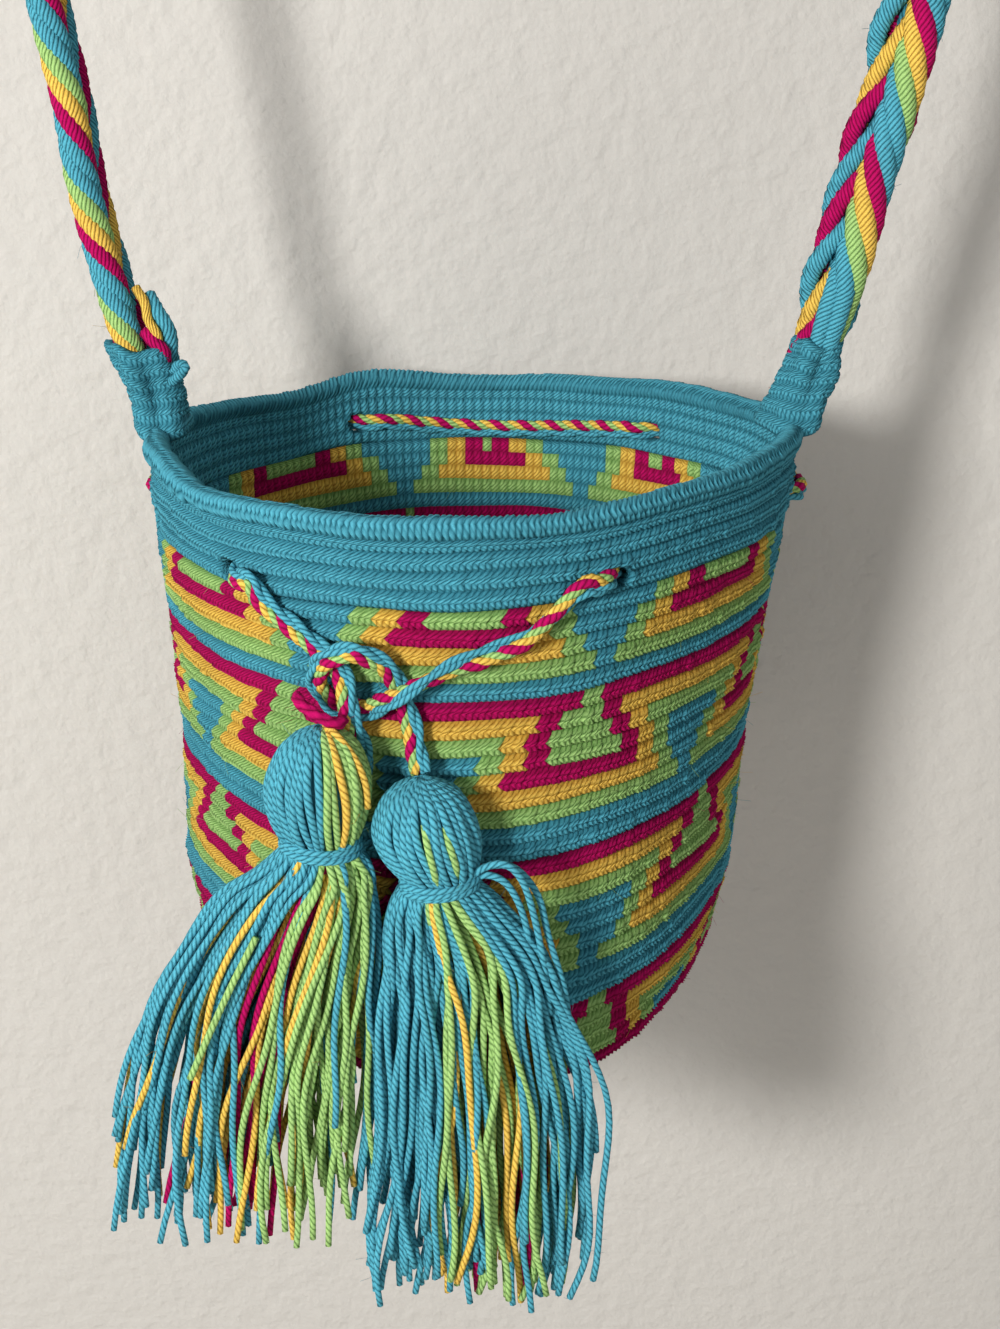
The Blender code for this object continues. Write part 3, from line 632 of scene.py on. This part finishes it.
def make_base():
    """Rounds of the base, each a crocheted rope of its own width, down to the middle."""
    pile = Pile()
    for k, colour in enumerate(BASE_YARNS):
        radius = 67.2 - ROPE_STEP * k
        columns = max(6, round(2 * math.pi * radius / STITCH_WIDE)) * PER_STITCH
        part = np.arange(columns) % PER_STITCH
        around = 2 * np.pi * np.arange(ROPE_SIDES) / ROPE_SIDES
        out = -np.cos(around)
        down = np.sin(around)
        shear = LEG_SHEAR * (1 - np.abs(out))
        azimuth = (np.arange(columns) + PER_STITCH * (LEG_SHEAR - shear)[:, None]) * 360.0 / columns + 13.0 * k
        lift = 1.0 + STROKE[part] * 0.42 + chance.normal(0, 0.02, (1, columns))
        r = radius - out[:, None] * 2.2 * lift
        z = -139.5 - down[:, None] * 1.75 * lift
        points = hang(np.maximum(r, 0.2), azimuth, z)
        faces, i, j = grid_faces(ROPE_SIDES, columns, True)
        # painted shade: each rope darker on its sides, where it meets the next round, and in the gaps between stitches
        tone = np.clip((0.35 + 0.6 * np.abs(down))[:, None] * (0.75 + STROKE[part] * 1.2), 0, 1)
        pile.add(points, faces, stitch_uvs(j, i / 4.0, (i + 1) / 4.0), tone, colour)
    return pile.piece("body_base", CROCHET)


# ---- drawstring ----

def crossing(azimuth, inwards):
    """Points of the cord where it passes through an eyelet."""
    reach = CROSSING_REACH if inwards else -CROSSING_REACH
    shares = ((7.2, 1.0), (4.6, 0.94), (2.2, 0.66), (-2.2, -0.66), (-4.6, -0.94), (-7.2, -1.0))
    return [beside_wall(azimuth + turn, -eyelet_depth(azimuth), CROSSING_MIDDLE + share * reach)
            for turn, share in shares]


# Turn round the bag and depth of the points between one eyelet and the next, first inside the wall.
CORD_STRETCHES = (((213.0, 15.5), (203.5, 15.0), (194.0, 15.5)),
                  ((161.0, 15.5), (151.5, 15.0), (142.0, 15.0), (132.5, 15.5)),
                  ((97.5, 15.4), (86.5, 16.2), (75.5, 16.0), (64.5, 15.0)),
                  ((29.0, 15.5), (19.0, 15.0), (9.0, 15.5)),
                  ((-25.0, 15.5), (-35.5, 15.0), (-46.0, 15.5)), ())


def cord_route():
    """The cord from the left tassel through the six eyelets and the knot to the right tassel."""
    points = [(-22.9, -80.6, -60.4), (-21.7, -80.9, -54.6), (-22.9, -84.0, -48.4), (-24.1, -85.4, -43.6),
              (-24.4, -85.0, -39.4), (-25.5, -82.4, -35.6), (-28.6, -79.2, -32.4), (-35.4, -76.0, -27.4),
              (-43.2, -71.4, -22.4)]
    for k, stretch in enumerate(CORD_STRETCHES):
        points += crossing(EYELETS[k], k % 2 == 0)
        points += [beside_wall(a, -z, CORD_OUTSIDE if k % 2 else CORD_INSIDE) for a, z in stretch]
    points += [(14.0, -82.6, -26.2), (5.0, -84.9, -29.4), (-3.4, -87.0, -32.2), (-9.4, -88.9, -35.2),
               (-13.4, -88.2, -38.0), (-17.2, -85.4, -40.9), (-20.6, -81.8, -43.6), (-24.6, -79.6, -45.0),
               (-29.4, -78.0, -43.4), (-32.0, -78.6, -38.6), (-31.4, -81.6, -33.6), (-28.4, -84.6, -30.0),
               (-23.4, -86.2, -28.2), (-18.2, -85.6, -30.2), (-14.8, -83.6, -34.2), (-13.0, -83.2, -39.0),
               (-11.2, -83.8, -44.4), (-10.0, -85.0, -50.4), (-8.9, -87.4, -55.9)]
    return np.array(points)


def make_drawstring():
    """A two-strand turquoise side and a magenta, yellow and lime side, laced round the bag."""
    path = evenly(smooth_route(cord_route(), 14), 0.95)
    outward = path * np.array([1.0, 1.0, 0.0])
    outward /= np.linalg.norm(outward, axis=1)[:, None]
    ahead, front, sideways = frames_along(path, outward)
    gone = lengths_along(path)
    total = gone[-1]
    marks = np.array([0.0, 75.0, 185.0, total - 165.0, total - 128.0, total - 98.0, total - 70.0, total])
    turns = np.radians(np.array([180.0, 180.0, 0.0, 0.0, 0.0, 180.0, 360.0, 360.0]))
    spin = np.interp(gone, marks, turns)
    side = np.cos(spin)[:, None] * sideways + np.sin(spin)[:, None] * front
    face = np.cross(side, ahead)
    pile = Pile()
    for across, lift, ring, radii, lay, yarns, start, sides in (
            (-0.88, 0.15, 0.66, (0.80, 0.80), 17.0, (TURQUOISE, TURQUOISE), 0.3, 8),
            (1.22, -0.1, 0.68, (1.12, 0.92, 0.86), 8.6, (MAGENTA, YELLOW, LIME), 0.0, 6)):
        core = path + side * across + face * lift
        for k, (yarn, radius) in enumerate(zip(yarns, radii)):
            angle = start - 2 * np.pi * (gone / lay + k / len(yarns))
            line = core + ring * (np.cos(angle)[:, None] * side + np.sin(angle)[:, None] * face)
            add_strand(pile, line, radius, yarn, sides=sides, lead=face)
    return pile.piece("drawstring_cord", STRAND), path


# ---- strap ----

def strap_route():
    """Middle line of the strap, from the left sleeve up and over to the right one."""
    points = ((-77.2, 4.2), (-80.6, 20.0), (-85.8, 45.0), (-91.4, 72.0), (-97.3, 101.6), (-103.6, 140.0),
              (-106.8, 180.0), (-105.0, 222.0), (-96.4, 265.0), (-79.0, 305.0), (-52.0, 338.0), (-24.0, 354.5),
              (3.0, 360.0), (30.0, 354.5), (58.0, 338.0), (86.0, 305.0), (103.6, 265.0), (112.0, 222.0),
              (113.6, 180.0), (110.6, 140.0), (105.4, 102.2), (99.0, 72.0), (92.8, 45.0), (85.9, 20.0), (81.3, 4.4))
    return smooth_route([(x, 0.0, z) for x, z in points], 12)


def strap_turns(gone):
    """Turns of the main rope along the strap: laid tighter at the left, looser at the right."""
    return np.interp(gone, (0.0, 41.7, 71.7, 728.9, 766.0, 792.0, 830.0),
                     (-1.39, 0.0, 1.0, 21.0, 22.0, 22.62, 22.8))


# Ends of yarn by the left sleeve: points, yarn and radius.
KNOT_YARNS = (
    (((-79.0, 1.0, 34.0), (-76.6, -1.2, 30.4), (-74.0, -1.0, 25.0), (-74.6, 0.6, 18.0), (-77.0, 1.5, 12.0)),
     TURQUOISE, 1.9),
    (((-81.6, -0.6, 36.0), (-79.2, -2.6, 32.6), (-78.6, -3.0, 28.6), (-76.8, -3.2, 25.6), (-76.4, -2.4, 22.6)),
     YELLOW, 1.2),
    (((-79.8, -1.6, 25.4), (-77.4, -3.4, 23.2), (-75.2, -3.2, 20.6), (-75.6, -1.6, 17.0)), MAGENTA, 1.7))


def make_strap():
    """A thick laid rope with a looser rope behind it, laid the other way; they part towards the right."""
    path = evenly(strap_route(), 1.55)
    gone = lengths_along(path)
    total = gone[-1]
    height = path[:, 2]
    path[:, 0] += np.where(gone < total / 2, np.interp(height, (4.0, 20.0, 50.0, 62.0, 80.0, 110.0),
                                                       (-1.0, -3.0, -3.5, -3.1, -1.0, -0.3)),
                           np.interp(height, (4.0, 20.0, 40.0, 60.0, 90.0), (0.6, 1.6, 1.9, 0.4, 0.9)))
    _, front, side = frames_along(path, (0.0, -1.0, 0.0))
    share = ease(gone / total)
    thin = 0.56 + 0.44 * ease(np.minimum(gone, total - gone) / 28.0)
    main = Pile()
    ring = (1.95 + 0.55 * share) * thin
    radius = (2.15 + 0.25 * share) * thin
    aside = -np.interp(gone, (400.0, 700.0, 766.0, 795.0), (0.0, 1.9, 1.1, 0.0))
    for k, yarn in enumerate((LIME, YELLOW, MAGENTA, TURQUOISE, TURQUOISE)):
        angle = 2 * np.pi * (strap_turns(gone) + (k - 2) / 5.0) + math.pi / 2
        line = path + front * (1.6 * thin ** 3)[:, None] + side * aside[:, None] + ring[:, None] * (
            np.cos(angle)[:, None] * side + np.sin(angle)[:, None] * front)
        add_strand(main, line, radius, yarn, sides=14, lobes=7, lobe_depth=0.05, lobe_lay=21.0, lead=front)
    add_fuzz(main, 700, 3)
    main_rope = main.piece("strap_main_rope", LAID)
    back = Pile()
    across = (0.9 + 0.9 * share + 0.7 * share * np.sin(gone / 11.0)) * thin
    behind = (-3.4 + 1.4 * share) * thin
    wide, deep = (2.1 + 2.7 * share) * thin, (1.6 + 0.9 * share) * thin
    core = path + side * across[:, None] + front * behind[:, None]
    for k, yarn in enumerate((MAGENTA, TURQUOISE, YELLOW, MAGENTA, TURQUOISE)):
        angle = -2 * np.pi * ((gone - 750.0) / 58.0 - k / 5.0) + math.pi
        loose = 1.05 + share * (0.22 * np.sin(gone / 9.7 + 2.1 * k) + 0.10 * np.sin(gone / 23.0 + k))
        line = core + (wide * loose * np.cos(angle))[:, None] * side + (deep * np.sin(angle))[:, None] * front
        add_strand(back, line, (1.75 + 0.65 * share) * thin, yarn, sides=12, lobes=6, lobe_depth=0.05, lobe_lay=-15.0,
                   lead=front)
    # the rope's core, deep between its strands, gets little painted light and is painted mostly in shade
    add_strand(back, core, (1.6 + 0.8 * share) * thin, TURQUOISE, sides=12, relief=0.3, lead=front)
    for points, yarn, thick in KNOT_YARNS:
        line = evenly(smooth_route(points, 10), 0.9)
        add_strand(back, line, thick, yarn, sides=12, lobes=5, lobe_depth=0.06, lobe_lay=9.0, lead=(0.6, -0.8, 0.1))
    add_fuzz(back, 500, 4)
    return main_rope, back.piece("strap_back_rope", PLY)


SLEEVE_STITCHES, SLEEVE_ROWS, SLEEVE_HEIGHT = 20, 6, 20.0


def make_sleeve(name, side):
    """Soft crocheted tube round the strap's end: folded, ragged at the top, worked onto the rim."""
    azimuth = 180.0 if side < 0 else 0.0
    foot = hang(78.0, azimuth, 0.0)
    route = strap_route()
    start, above = (route[0], route[12]) if side < 0 else (route[-1], route[-13])
    lean = (above[0] - start[0]) / (above[2] - start[2]) * (1.25 if side < 0 else 1.1)
    pile = Pile()
    columns = SLEEVE_STITCHES * PER_STITCH
    j = np.arange(columns)
    part = j % PER_STITCH
    rings = [((k + v) / SLEEVE_ROWS, bulge * 0.24, deep, relief, k + v, LEG_SHEAR * abs(2 * v - 1))
             for k in range(SLEEVE_ROWS)
             for v, bulge, deep, relief in zip(OUTER_V, OUTER_BULGE, OUTER_STROKE, np.maximum(OUTER_PAINTED_LIGHT, 0.30))]
    rings += [(1.0, -0.2, 0.2, 0.0, SLEEVE_ROWS, LEG_SHEAR), (1.0, -2.4, 0.0, 0.0, SLEEVE_ROWS, LEG_SHEAR),
              (0.5, -2.6, 0.0, 0.0, SLEEVE_ROWS / 2, LEG_SHEAR), (0.0, -2.2, 0.3, 0.2, 0.0, LEG_SHEAR)]
    creases = ((-2.2 if side < 0 else -1.1, 4.95, 0.26), (-1.2, 3.7, 0.35), (0.8, 4.35, 0.35), (0.7, 5.6, 0.4))
    points = []
    for down, out, deep, relief, along, shear in rings:
        angle = 2 * np.pi * (j / PER_STITCH + shear) / SLEEVE_STITCHES
        up = SLEEVE_HEIGHT * (1.0 - down)
        flare = ease((down - 0.60) / 0.40)
        half_x = (8.3 - 1.8 * ease(down / 0.8) if side < 0 else 6.0 + 1.3 * ease(down / 0.7)) + 0.5 * flare
        half_y = (6.4 if side < 0 else 5.6) + 1.2 * down + 4.6 * flare
        crease = sum(fold * np.exp(-((angle - at) / wide) ** 2) for fold, at, wide in creases)
        sag = 0.65 * np.sin(3 * angle + 5.0 * down + side) + 0.45 * np.sin(5 * angle - 7.0 * down)
        reach = STROKE[part] * deep * 0.65 + out + (crease + sag) * (0.35 + 0.65 * math.sin(math.pi * min(down, 1.0)))
        x = start[0] + lean * (up + foot[2] - start[2]) + (half_x + reach) * np.cos(angle)
        y = (half_y + reach) * np.sin(angle)
        ragged = (0.9 * np.sin(2 * angle + 1.0) + 0.5 * np.sin(5 * angle)) * (1.0 - down)
        z = foot[2] + up - 1.4 * down + ragged - 1.1 * flare * np.sin(angle) ** 2
        points.append(np.stack((x, y, z), -1))
    faces, i, j = grid_faces(len(rings), columns, True)
    relief, along = np.array(rings)[:, 3:5].T
    # painted shade: grooves between strokes and rows darker, and the inside of the tube painted almost fully in shade
    tone = np.clip(relief[:, None] * (0.70 + STROKE[part] * 1.1), 0, 1)
    uvs = stitch_uvs(j, along[i] * 2.0, along[(i + 1) % len(rings)] * 2.0)
    pile.add(points, faces, uvs, tone, TURQUOISE)
    if side < 0:
        nub = smooth_route([(-73.6, -5.2, 13.4), (-71.0, -6.2, 15.6), (-69.6, -6.0, 17.4), (-71.2, -5.4, 18.0),
                            (-72.8, -5.0, 15.8)], 8)
        add_strand(pile, evenly(nub, 0.8), 1.25, TURQUOISE, sides=10, lobes=3, lobe_depth=0.12, lobe_lay=7.0,
                   relief=0.7)
    return pile.piece(name, CROCHET[:1])


# ---- tassels ----

LEFT_HEAD = ((-29.8, -88.2, -44.9, 1.6, 1.4), (-30.0, -88.8, -46.4, 5.2, 4.4), (-30.4, -89.8, -49.2, 8.6, 7.2),
             (-31.0, -90.4, -56.6, 11.3, 9.4), (-31.3, -90.2, -64.4, 10.6, 9.0), (-31.1, -89.6, -71.2, 8.0, 7.0))
LEFT_SKIRT = ((-31.0, -89.6, -69.6, 7.4, 6.4), (-31.2, -89.7, -72.2, 8.6, 7.2), (-32.4, -90.2, -77.4, 13.0, 8.4),
              (-37.0, -90.6, -85.6, 18.4, 8.6), (-45.5, -91.2, -110.0, 25.2, 8.8), (-51.0, -92.4, -136.0, 29.0, 9.0),
              (-54.4, -93.8, -171.0, 31.4, 9.2))
RIGHT_HEAD = ((-8.4, -90.2, -56.1, 1.6, 1.4), (-8.4, -90.8, -57.6, 5.2, 4.5), (-8.3, -91.6, -60.2, 8.8, 7.6),
              (-7.9, -92.4, -66.8, 11.4, 9.6), (-6.6, -92.6, -73.2, 10.6, 9.1), (-5.0, -92.9, -78.6, 7.8, 6.9))
RIGHT_SKIRT = ((-5.1, -92.9, -77.2, 7.2, 6.4), (-4.9, -93.0, -79.8, 8.6, 7.2), (-3.6, -93.4, -84.6, 12.8, 8.2),
               (0.3, -94.2, -96.0, 18.2, 8.6), (2.4, -94.8, -110.0, 21.4, 8.8), (4.2, -95.4, -134.0, 24.6, 9.2),
               (4.4, -96.2, -161.0, 26.4, 9.6), (3.0, -96.8, -187.0, 25.4, 9.6))


# Loose strands that stand out from the others: points and yarn.
LEFT_LOOSE = (
    (((-45.0, -98.6, -90.0), (-50.2, -100.2, -100.0), (-55.8, -101.2, -112.0), (-61.0, -101.6, -124.0)), LIME),
    (((-29.4, -88.4, -44.0), (-26.4, -91.4, -45.6), (-22.8, -93.8, -49.6), (-20.6, -94.6, -55.0),
      (-20.2, -94.2, -61.0)), YELLOW))
RIGHT_LOOSE = (
    (((-8.0, -99.4, -62.6), (-7.2, -101.9, -66.6), (-6.0, -102.0, -72.0), (-5.4, -99.6, -77.0)), LIME),
    (((-4.0, -98.8, -63.4), (-2.4, -100.7, -67.6), (-1.3, -100.3, -72.0), (-1.6, -98.0, -76.4)), LIME),
    (((1.0, -95.0, -77.6), (5.2, -97.4, -73.4), (9.4, -98.0, -72.6), (13.0, -97.6, -77.0), (15.6, -97.2, -86.0),
      (17.6, -97.2, -97.0), (19.2, -97.4, -110.0)), TURQUOISE),
    (((1.4, -94.0, -78.4), (5.4, -95.4, -76.4), (9.8, -96.0, -78.6), (13.2, -96.2, -86.0), (15.2, -96.8, -97.0),
      (18.4, -97.8, -112.0), (20.4, -98.2, -126.0)), TURQUOISE),
    (((1.6, -93.2, -77.2), (6.4, -94.0, -74.8), (11.6, -94.2, -75.6), (16.4, -94.4, -82.0), (18.8, -94.8, -92.0),
      (22.6, -95.6, -106.0), (24.0, -95.8, -121.0)), TURQUOISE))
HEAD_STRANDS, HEAD_TWIST = 37, 0.28
SKIRT_LAYERS = ((1.0, 38), (0.86, 38), (0.70, 38), (0.48, 28), (0.22, 12))  # share of the width, strands
BEFORE_THE_WALL = -82.6


def left_yarn(across, depth, pick):
    """Yarn of a left-hand strand by its place from left (-1) to right (1) and its layer."""
    if depth < 0.8 and -0.34 < across < 0.35:
        return YELLOW if pick < 0.56 else MAGENTA if pick < 0.84 else TURQUOISE
    if across < 0.08:
        return TURQUOISE if pick < 0.93 else YELLOW
    if across < 0.93:
        return LIME if pick < 0.72 else YELLOW if pick < 0.90 else TURQUOISE
    return TURQUOISE


def right_yarn(across, depth, pick):
    if depth < 0.8 and -0.30 < across < 0.55:
        return LIME if pick < 0.38 else YELLOW if pick < 0.72 else MAGENTA if across > 0.05 else TURQUOISE
    if across < -0.34:
        return TURQUOISE
    if across < 0.30:
        return LIME if pick < 0.50 else YELLOW if pick < 0.62 else TURQUOISE
    return TURQUOISE if pick < 0.80 else LIME


def left_head_yarn(across, pick):
    if across < 0.12:
        return TURQUOISE
    return YELLOW if 0.42 < across < 0.54 else LIME


def right_head_yarn(across, pick):
    return TURQUOISE


def along_axis(axis, t):
    """x, y, z, half width and half depth at shares t of a tassel's axis."""
    spine = smooth_route(axis, 8)
    return np.stack([np.interp(t, np.linspace(0.0, 1.0, len(spine)), spine[:, k]) for k in range(5)], -1)


def add_head(pile, axis, choose, rng):
    """Strands laid side by side over the tassel's round head, from its top to its neck."""
    t = np.linspace(0.0, 1.0, 26)
    centre = along_axis(axis, t)
    for k in range(HEAD_STRANDS):
        angle = 2 * math.pi * (k + rng.uniform(-0.15, 0.15)) / HEAD_STRANDS
        turn = angle + HEAD_TWIST * (t - 0.5) + 0.05 * np.sin(t * 7.0 + k * 1.7)
        lift = 0.30 * (k % 2) + rng.uniform(-0.15, 0.28)
        path = np.stack((centre[:, 0] + np.maximum(centre[:, 3] - 0.9 + lift, 0.2) * np.cos(turn),
                         centre[:, 1] + np.maximum(centre[:, 4] - 0.9 + lift, 0.2) * np.sin(turn), centre[:, 2]), -1)
        thick = np.interp(t, (0.0, 0.25, 0.7, 1.0), (0.62, 0.93, 0.95, 0.74))
        add_strand(pile, path, thick, choose(math.cos(angle), rng.uniform()), sides=7, relief=0.95)


def add_skirt(pile, axis, choose, rng):
    """Loose strands under the neck: each wanders, and no two end at the same height."""
    for depth, count in SKIRT_LAYERS:
        for k in range(count):
            angle = 2 * math.pi * (k + rng.uniform(-0.4, 0.4)) / count + depth * 2.0
            end = 1.0 - abs(rng.normal(0.0, 0.055)) - (0.10 if rng.uniform() < 0.12 else 0.0)
            t = np.linspace(0.0, end, 40)
            centre = along_axis(axis, t)
            wander = np.clip(t - 0.08, 0.0, 1.0) ** 1.15
            phase = rng.uniform(0, 2 * math.pi, 5)
            drift = rng.normal(0.0, 0.22) * wander * 1.6 + 0.12 * np.sin(t * 7.0 + phase[4]) * wander
            turn = angle + drift
            spread = depth * (1.0 + rng.normal(0.0, 0.05) * wander) + 0.05 * np.sin(phase[0]) * wander
            loose = 1.7 if rng.uniform() < 0.15 else 1.0
            x = centre[:, 0] + np.maximum(centre[:, 3] - 0.9, 0.3) * spread * np.cos(turn)
            y = centre[:, 1] + np.maximum(centre[:, 4] - 0.9, 0.3) * spread * np.sin(turn)
            x = x + wander * loose * (2.0 * np.sin(t * 9.0 + phase[0]) + 1.25 * np.sin(t * 22.0 + phase[1]))
            y = y + wander * (1.3 * np.sin(t * 8.5 + phase[2]) + 1.0 * np.sin(t * 19.0 + phase[3]))
            z = centre[:, 2] + 2.2 * (1.0 - depth) * np.exp(-t * 12.0)
            y = np.minimum(y, BEFORE_THE_WALL)
            thick = np.interp(t, (0.0, 0.06, 0.2, 1.0), (0.68, 0.80, 0.85, 0.82))
            add_strand(pile, np.stack((x, y, z), -1), thick, choose(math.cos(angle) * depth, depth, rng.uniform()),
                       sides=6, relief=0.95)


def make_tassel(name, head, skirt, head_yarn, skirt_yarn, seed, extra):
    rng = np.random.RandomState(seed)
    pile = Pile()
    add_head(pile, head, head_yarn, rng)
    add_skirt(pile, skirt, skirt_yarn, rng)
    for points, yarn in extra:
        add_strand(pile, evenly(smooth_route(points, 10), 1.6), 0.84, yarn, sides=6, relief=0.95)
    add_fuzz(pile, 700, seed)
    return pile.piece(name, STRAND)


def make_head_core(name, axis):
    """Fills the inside of a tassel's head so that no light shows between its strands."""
    pile = Pile()
    spine = along_axis(axis, np.linspace(0.03, 1.0, 16))
    columns = 24
    angle = 2 * np.pi * np.arange(columns) / columns
    points = np.stack((spine[:, 0:1] + np.maximum(spine[:, 3:4] - 1.8, 0.2) * np.cos(angle),
                       spine[:, 1:2] + np.maximum(spine[:, 4:5] - 1.8, 0.2) * np.sin(angle),
                       spine[:, 2:3] + 0 * angle), -1)
    faces = np.concatenate((grid_faces(len(spine), columns, False)[0], end_caps(len(spine), columns)))
    # painted shade: the core gets little painted light, so it takes mostly the dark shade colour
    pile.add(points, faces, np.zeros((len(faces), 4, 2)), 0.2, TURQUOISE)
    return pile.piece(name, STRAND)


def make_binding(name, centre, half_wide, half_deep, slope):
    """Yarn wound a few times round the neck."""
    pile = Pile()
    t = np.linspace(0.0, 1.0, 200)
    angle = 2 * np.pi * 5.2 * t - 1.0
    grow = 1.0 + 0.03 * np.sin(angle * 1.7) + 0.02 * np.sin(angle * 0.63)
    path = np.stack((centre[0] + half_wide * grow * np.cos(angle), centre[1] + half_deep * grow * np.sin(angle),
                     centre[2] + 1.3 - 2.6 * t + slope * np.cos(angle) + 0.35 * np.sin(angle * 0.8)), -1)
    add_strand(pile, path, 0.72, TURQUOISE, sides=8, relief=0.95)
    return pile.piece(name, STRAND)


def make_tie():
    """Short magenta yarn laid over the left tassel's top beside the cord."""
    pile = Pile()
    points = ((-35.4, -86.0, -38.6), (-34.6, -88.0, -39.2), (-32.2, -89.6, -40.5), (-29.0, -90.2, -42.3),
              (-26.4, -89.4, -43.4), (-25.6, -87.6, -43.4))
    path = evenly(smooth_route(points, 10), 0.7)
    add_strand(pile, path, 1.32, MAGENTA, sides=12, lobes=3, lobe_depth=0.12, lobe_lay=9.0, relief=0.95,
               lead=(0.0, 0.0, 1.0))
    add_fuzz(pile, 60, 9)
    return pile.piece("magenta_tie", STRAND)


# ---- room, light and camera ----

def plaster(name, colour):
    material, shader, w = new_material(name, 0.9)
    spot = w.node("ShaderNodeTexCoord").outputs["Object"]
    soft = w.plus(w.noise(spot, 150.0, 2.0, 0.5), w.times(w.noise(spot, 420.0, 3.0, 0.6), 0.30))
    shade = w.mix(w.noise(spot, 6.0, 2.0), (*[c * 0.985 for c in colour], 1.0), (*colour, 1.0))
    coat(w, shader, shade, soft, 0.0015, 0.75)
    # a camera behind the wall looks through it at the bag's back
    behind = w.times(w.node("ShaderNodeNewGeometry").outputs["Backfacing"],
                    w.node("ShaderNodeLightPath").outputs["Is Camera Ray"])
    both = w.node("ShaderNodeMixShader", {0: behind, 1: shader.outputs[0],
                                          2: w.node("ShaderNodeBsdfTransparent").outputs[0]})
    w.feed(both.outputs[0], material.node_tree.nodes["Material Output"].inputs["Surface"])
    return material


def panel(name, corners, material):
    mesh = bpy.data.meshes.new(name)
    mesh.from_pydata(corners, [], [(0, 1, 2, 3)])
    mesh.materials.append(material)
    put_in_scene(name, mesh)


def lamp(name, spot, aim, size, power, colour):
    light = bpy.data.lights.new(name, "AREA")
    light.shape = "DISK"
    light.size = size
    light.energy = power
    light.color = colour
    thing = put_in_scene(name, light)
    thing.location = spot
    thing.rotation_euler = (Vector(aim) - Vector(spot)).to_track_quat("-Z", "Y").to_euler()


def make_room():
    wall_y = 0.098
    floor_z = -0.80
    pale = plaster("pale_plaster", (0.56, 0.537, 0.500))
    panel("backdrop", [(-3, wall_y, floor_z), (3, wall_y, floor_z), (3, wall_y, 2.5), (-3, wall_y, 2.5)], pale)
    panel("floor", [(-3, -3, floor_z), (3, -3, floor_z), (3, wall_y, floor_z), (-3, wall_y, floor_z)], pale)
    centre = (0.0, 0.0, -0.42)
    lamp("window_light", (-0.56, -1.12, -0.06), centre, 0.24, 16.0, (1.0, 0.99, 0.97))
    lamp("side_light", (-0.80, -0.34, 0.05), centre, 0.6, 2.5, (1.0, 0.99, 0.97))
    lamp("room_light", (0.6, -1.2, -0.1), centre, 1.2, 3.0, (1.0, 0.98, 0.96))
    world = bpy.data.worlds.new("room")
    bpy.context.scene.world = world
    world.use_nodes = True
    ground = world.node_tree.nodes["Background"]
    ground.inputs["Color"].default_value = (0.95, 0.97, 1.0, 1.0)
    ground.inputs["Strength"].default_value = 0.25


def make_camera():
    camera = bpy.data.cameras.new("camera")
    camera.lens = 46.05
    camera.sensor_width = 36.0
    camera.clip_start = 0.01
    thing = put_in_scene("camera", camera)
    thing.location = (0.0051, -0.4252, -0.2588)
    thing.rotation_euler = (math.radians(90.0 - 20.3), 0.0, 0.0)
    bpy.context.scene.camera = thing


def main():
    bpy.context.scene.view_settings.view_transform = "Standard"
    make_camera()
    make_room()
    cord, path = make_drawstring()
    left = make_tassel("tassel_left_strands", LEFT_HEAD, LEFT_SKIRT, left_head_yarn, left_yarn, 5, LEFT_LOOSE)
    right = make_tassel("tassel_right_strands", RIGHT_HEAD, RIGHT_SKIRT, right_head_yarn, right_yarn, 8, RIGHT_LOOSE)
    left_core = make_head_core("tassel_left_core", LEFT_HEAD)
    right_core = make_head_core("tassel_right_core", RIGHT_HEAD)
    left_binding = make_binding("tassel_left_wraps", (-31.1, -89.6, -71.0), 8.5, 7.6, -0.5)
    right_binding = make_binding("tassel_right_wraps", (-5.0, -92.9, -78.4), 8.3, 7.5, 0.9)
    tie = make_tie()
    main_rope, back_rope = make_strap()
    sleeve_left = make_sleeve("sleeve_left", -1)
    sleeve_right = make_sleeve("sleeve_right", 1)
    rim, upper, lower, base = make_rim(), make_upper(), make_lower(), make_base()
    for pieces, node, slot in (
            ((left, left_core), "tassel_left", "tassel_yarn"), ((right, right_core), "tassel_right", "tassel_yarn"),
            ((left_binding,), "tassel_left_binding", "turquoise_yarn"),
            ((right_binding,), "tassel_right_binding", "turquoise_yarn"),
            ((tie,), "tassel_left_tie", "magenta_yarn"), ((cord,), "drawstring", "cord_yarn"),
            ((main_rope, back_rope), "strap", "strap_yarn"),
            ((sleeve_left,), "strap_sleeve_left", "turquoise_yarn"),
            ((sleeve_right,), "strap_sleeve_right", "turquoise_yarn"),
            ((rim, upper, lower, base), "bag_body", "crochet_body")):
        for piece in pieces:
            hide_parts(node)


main()
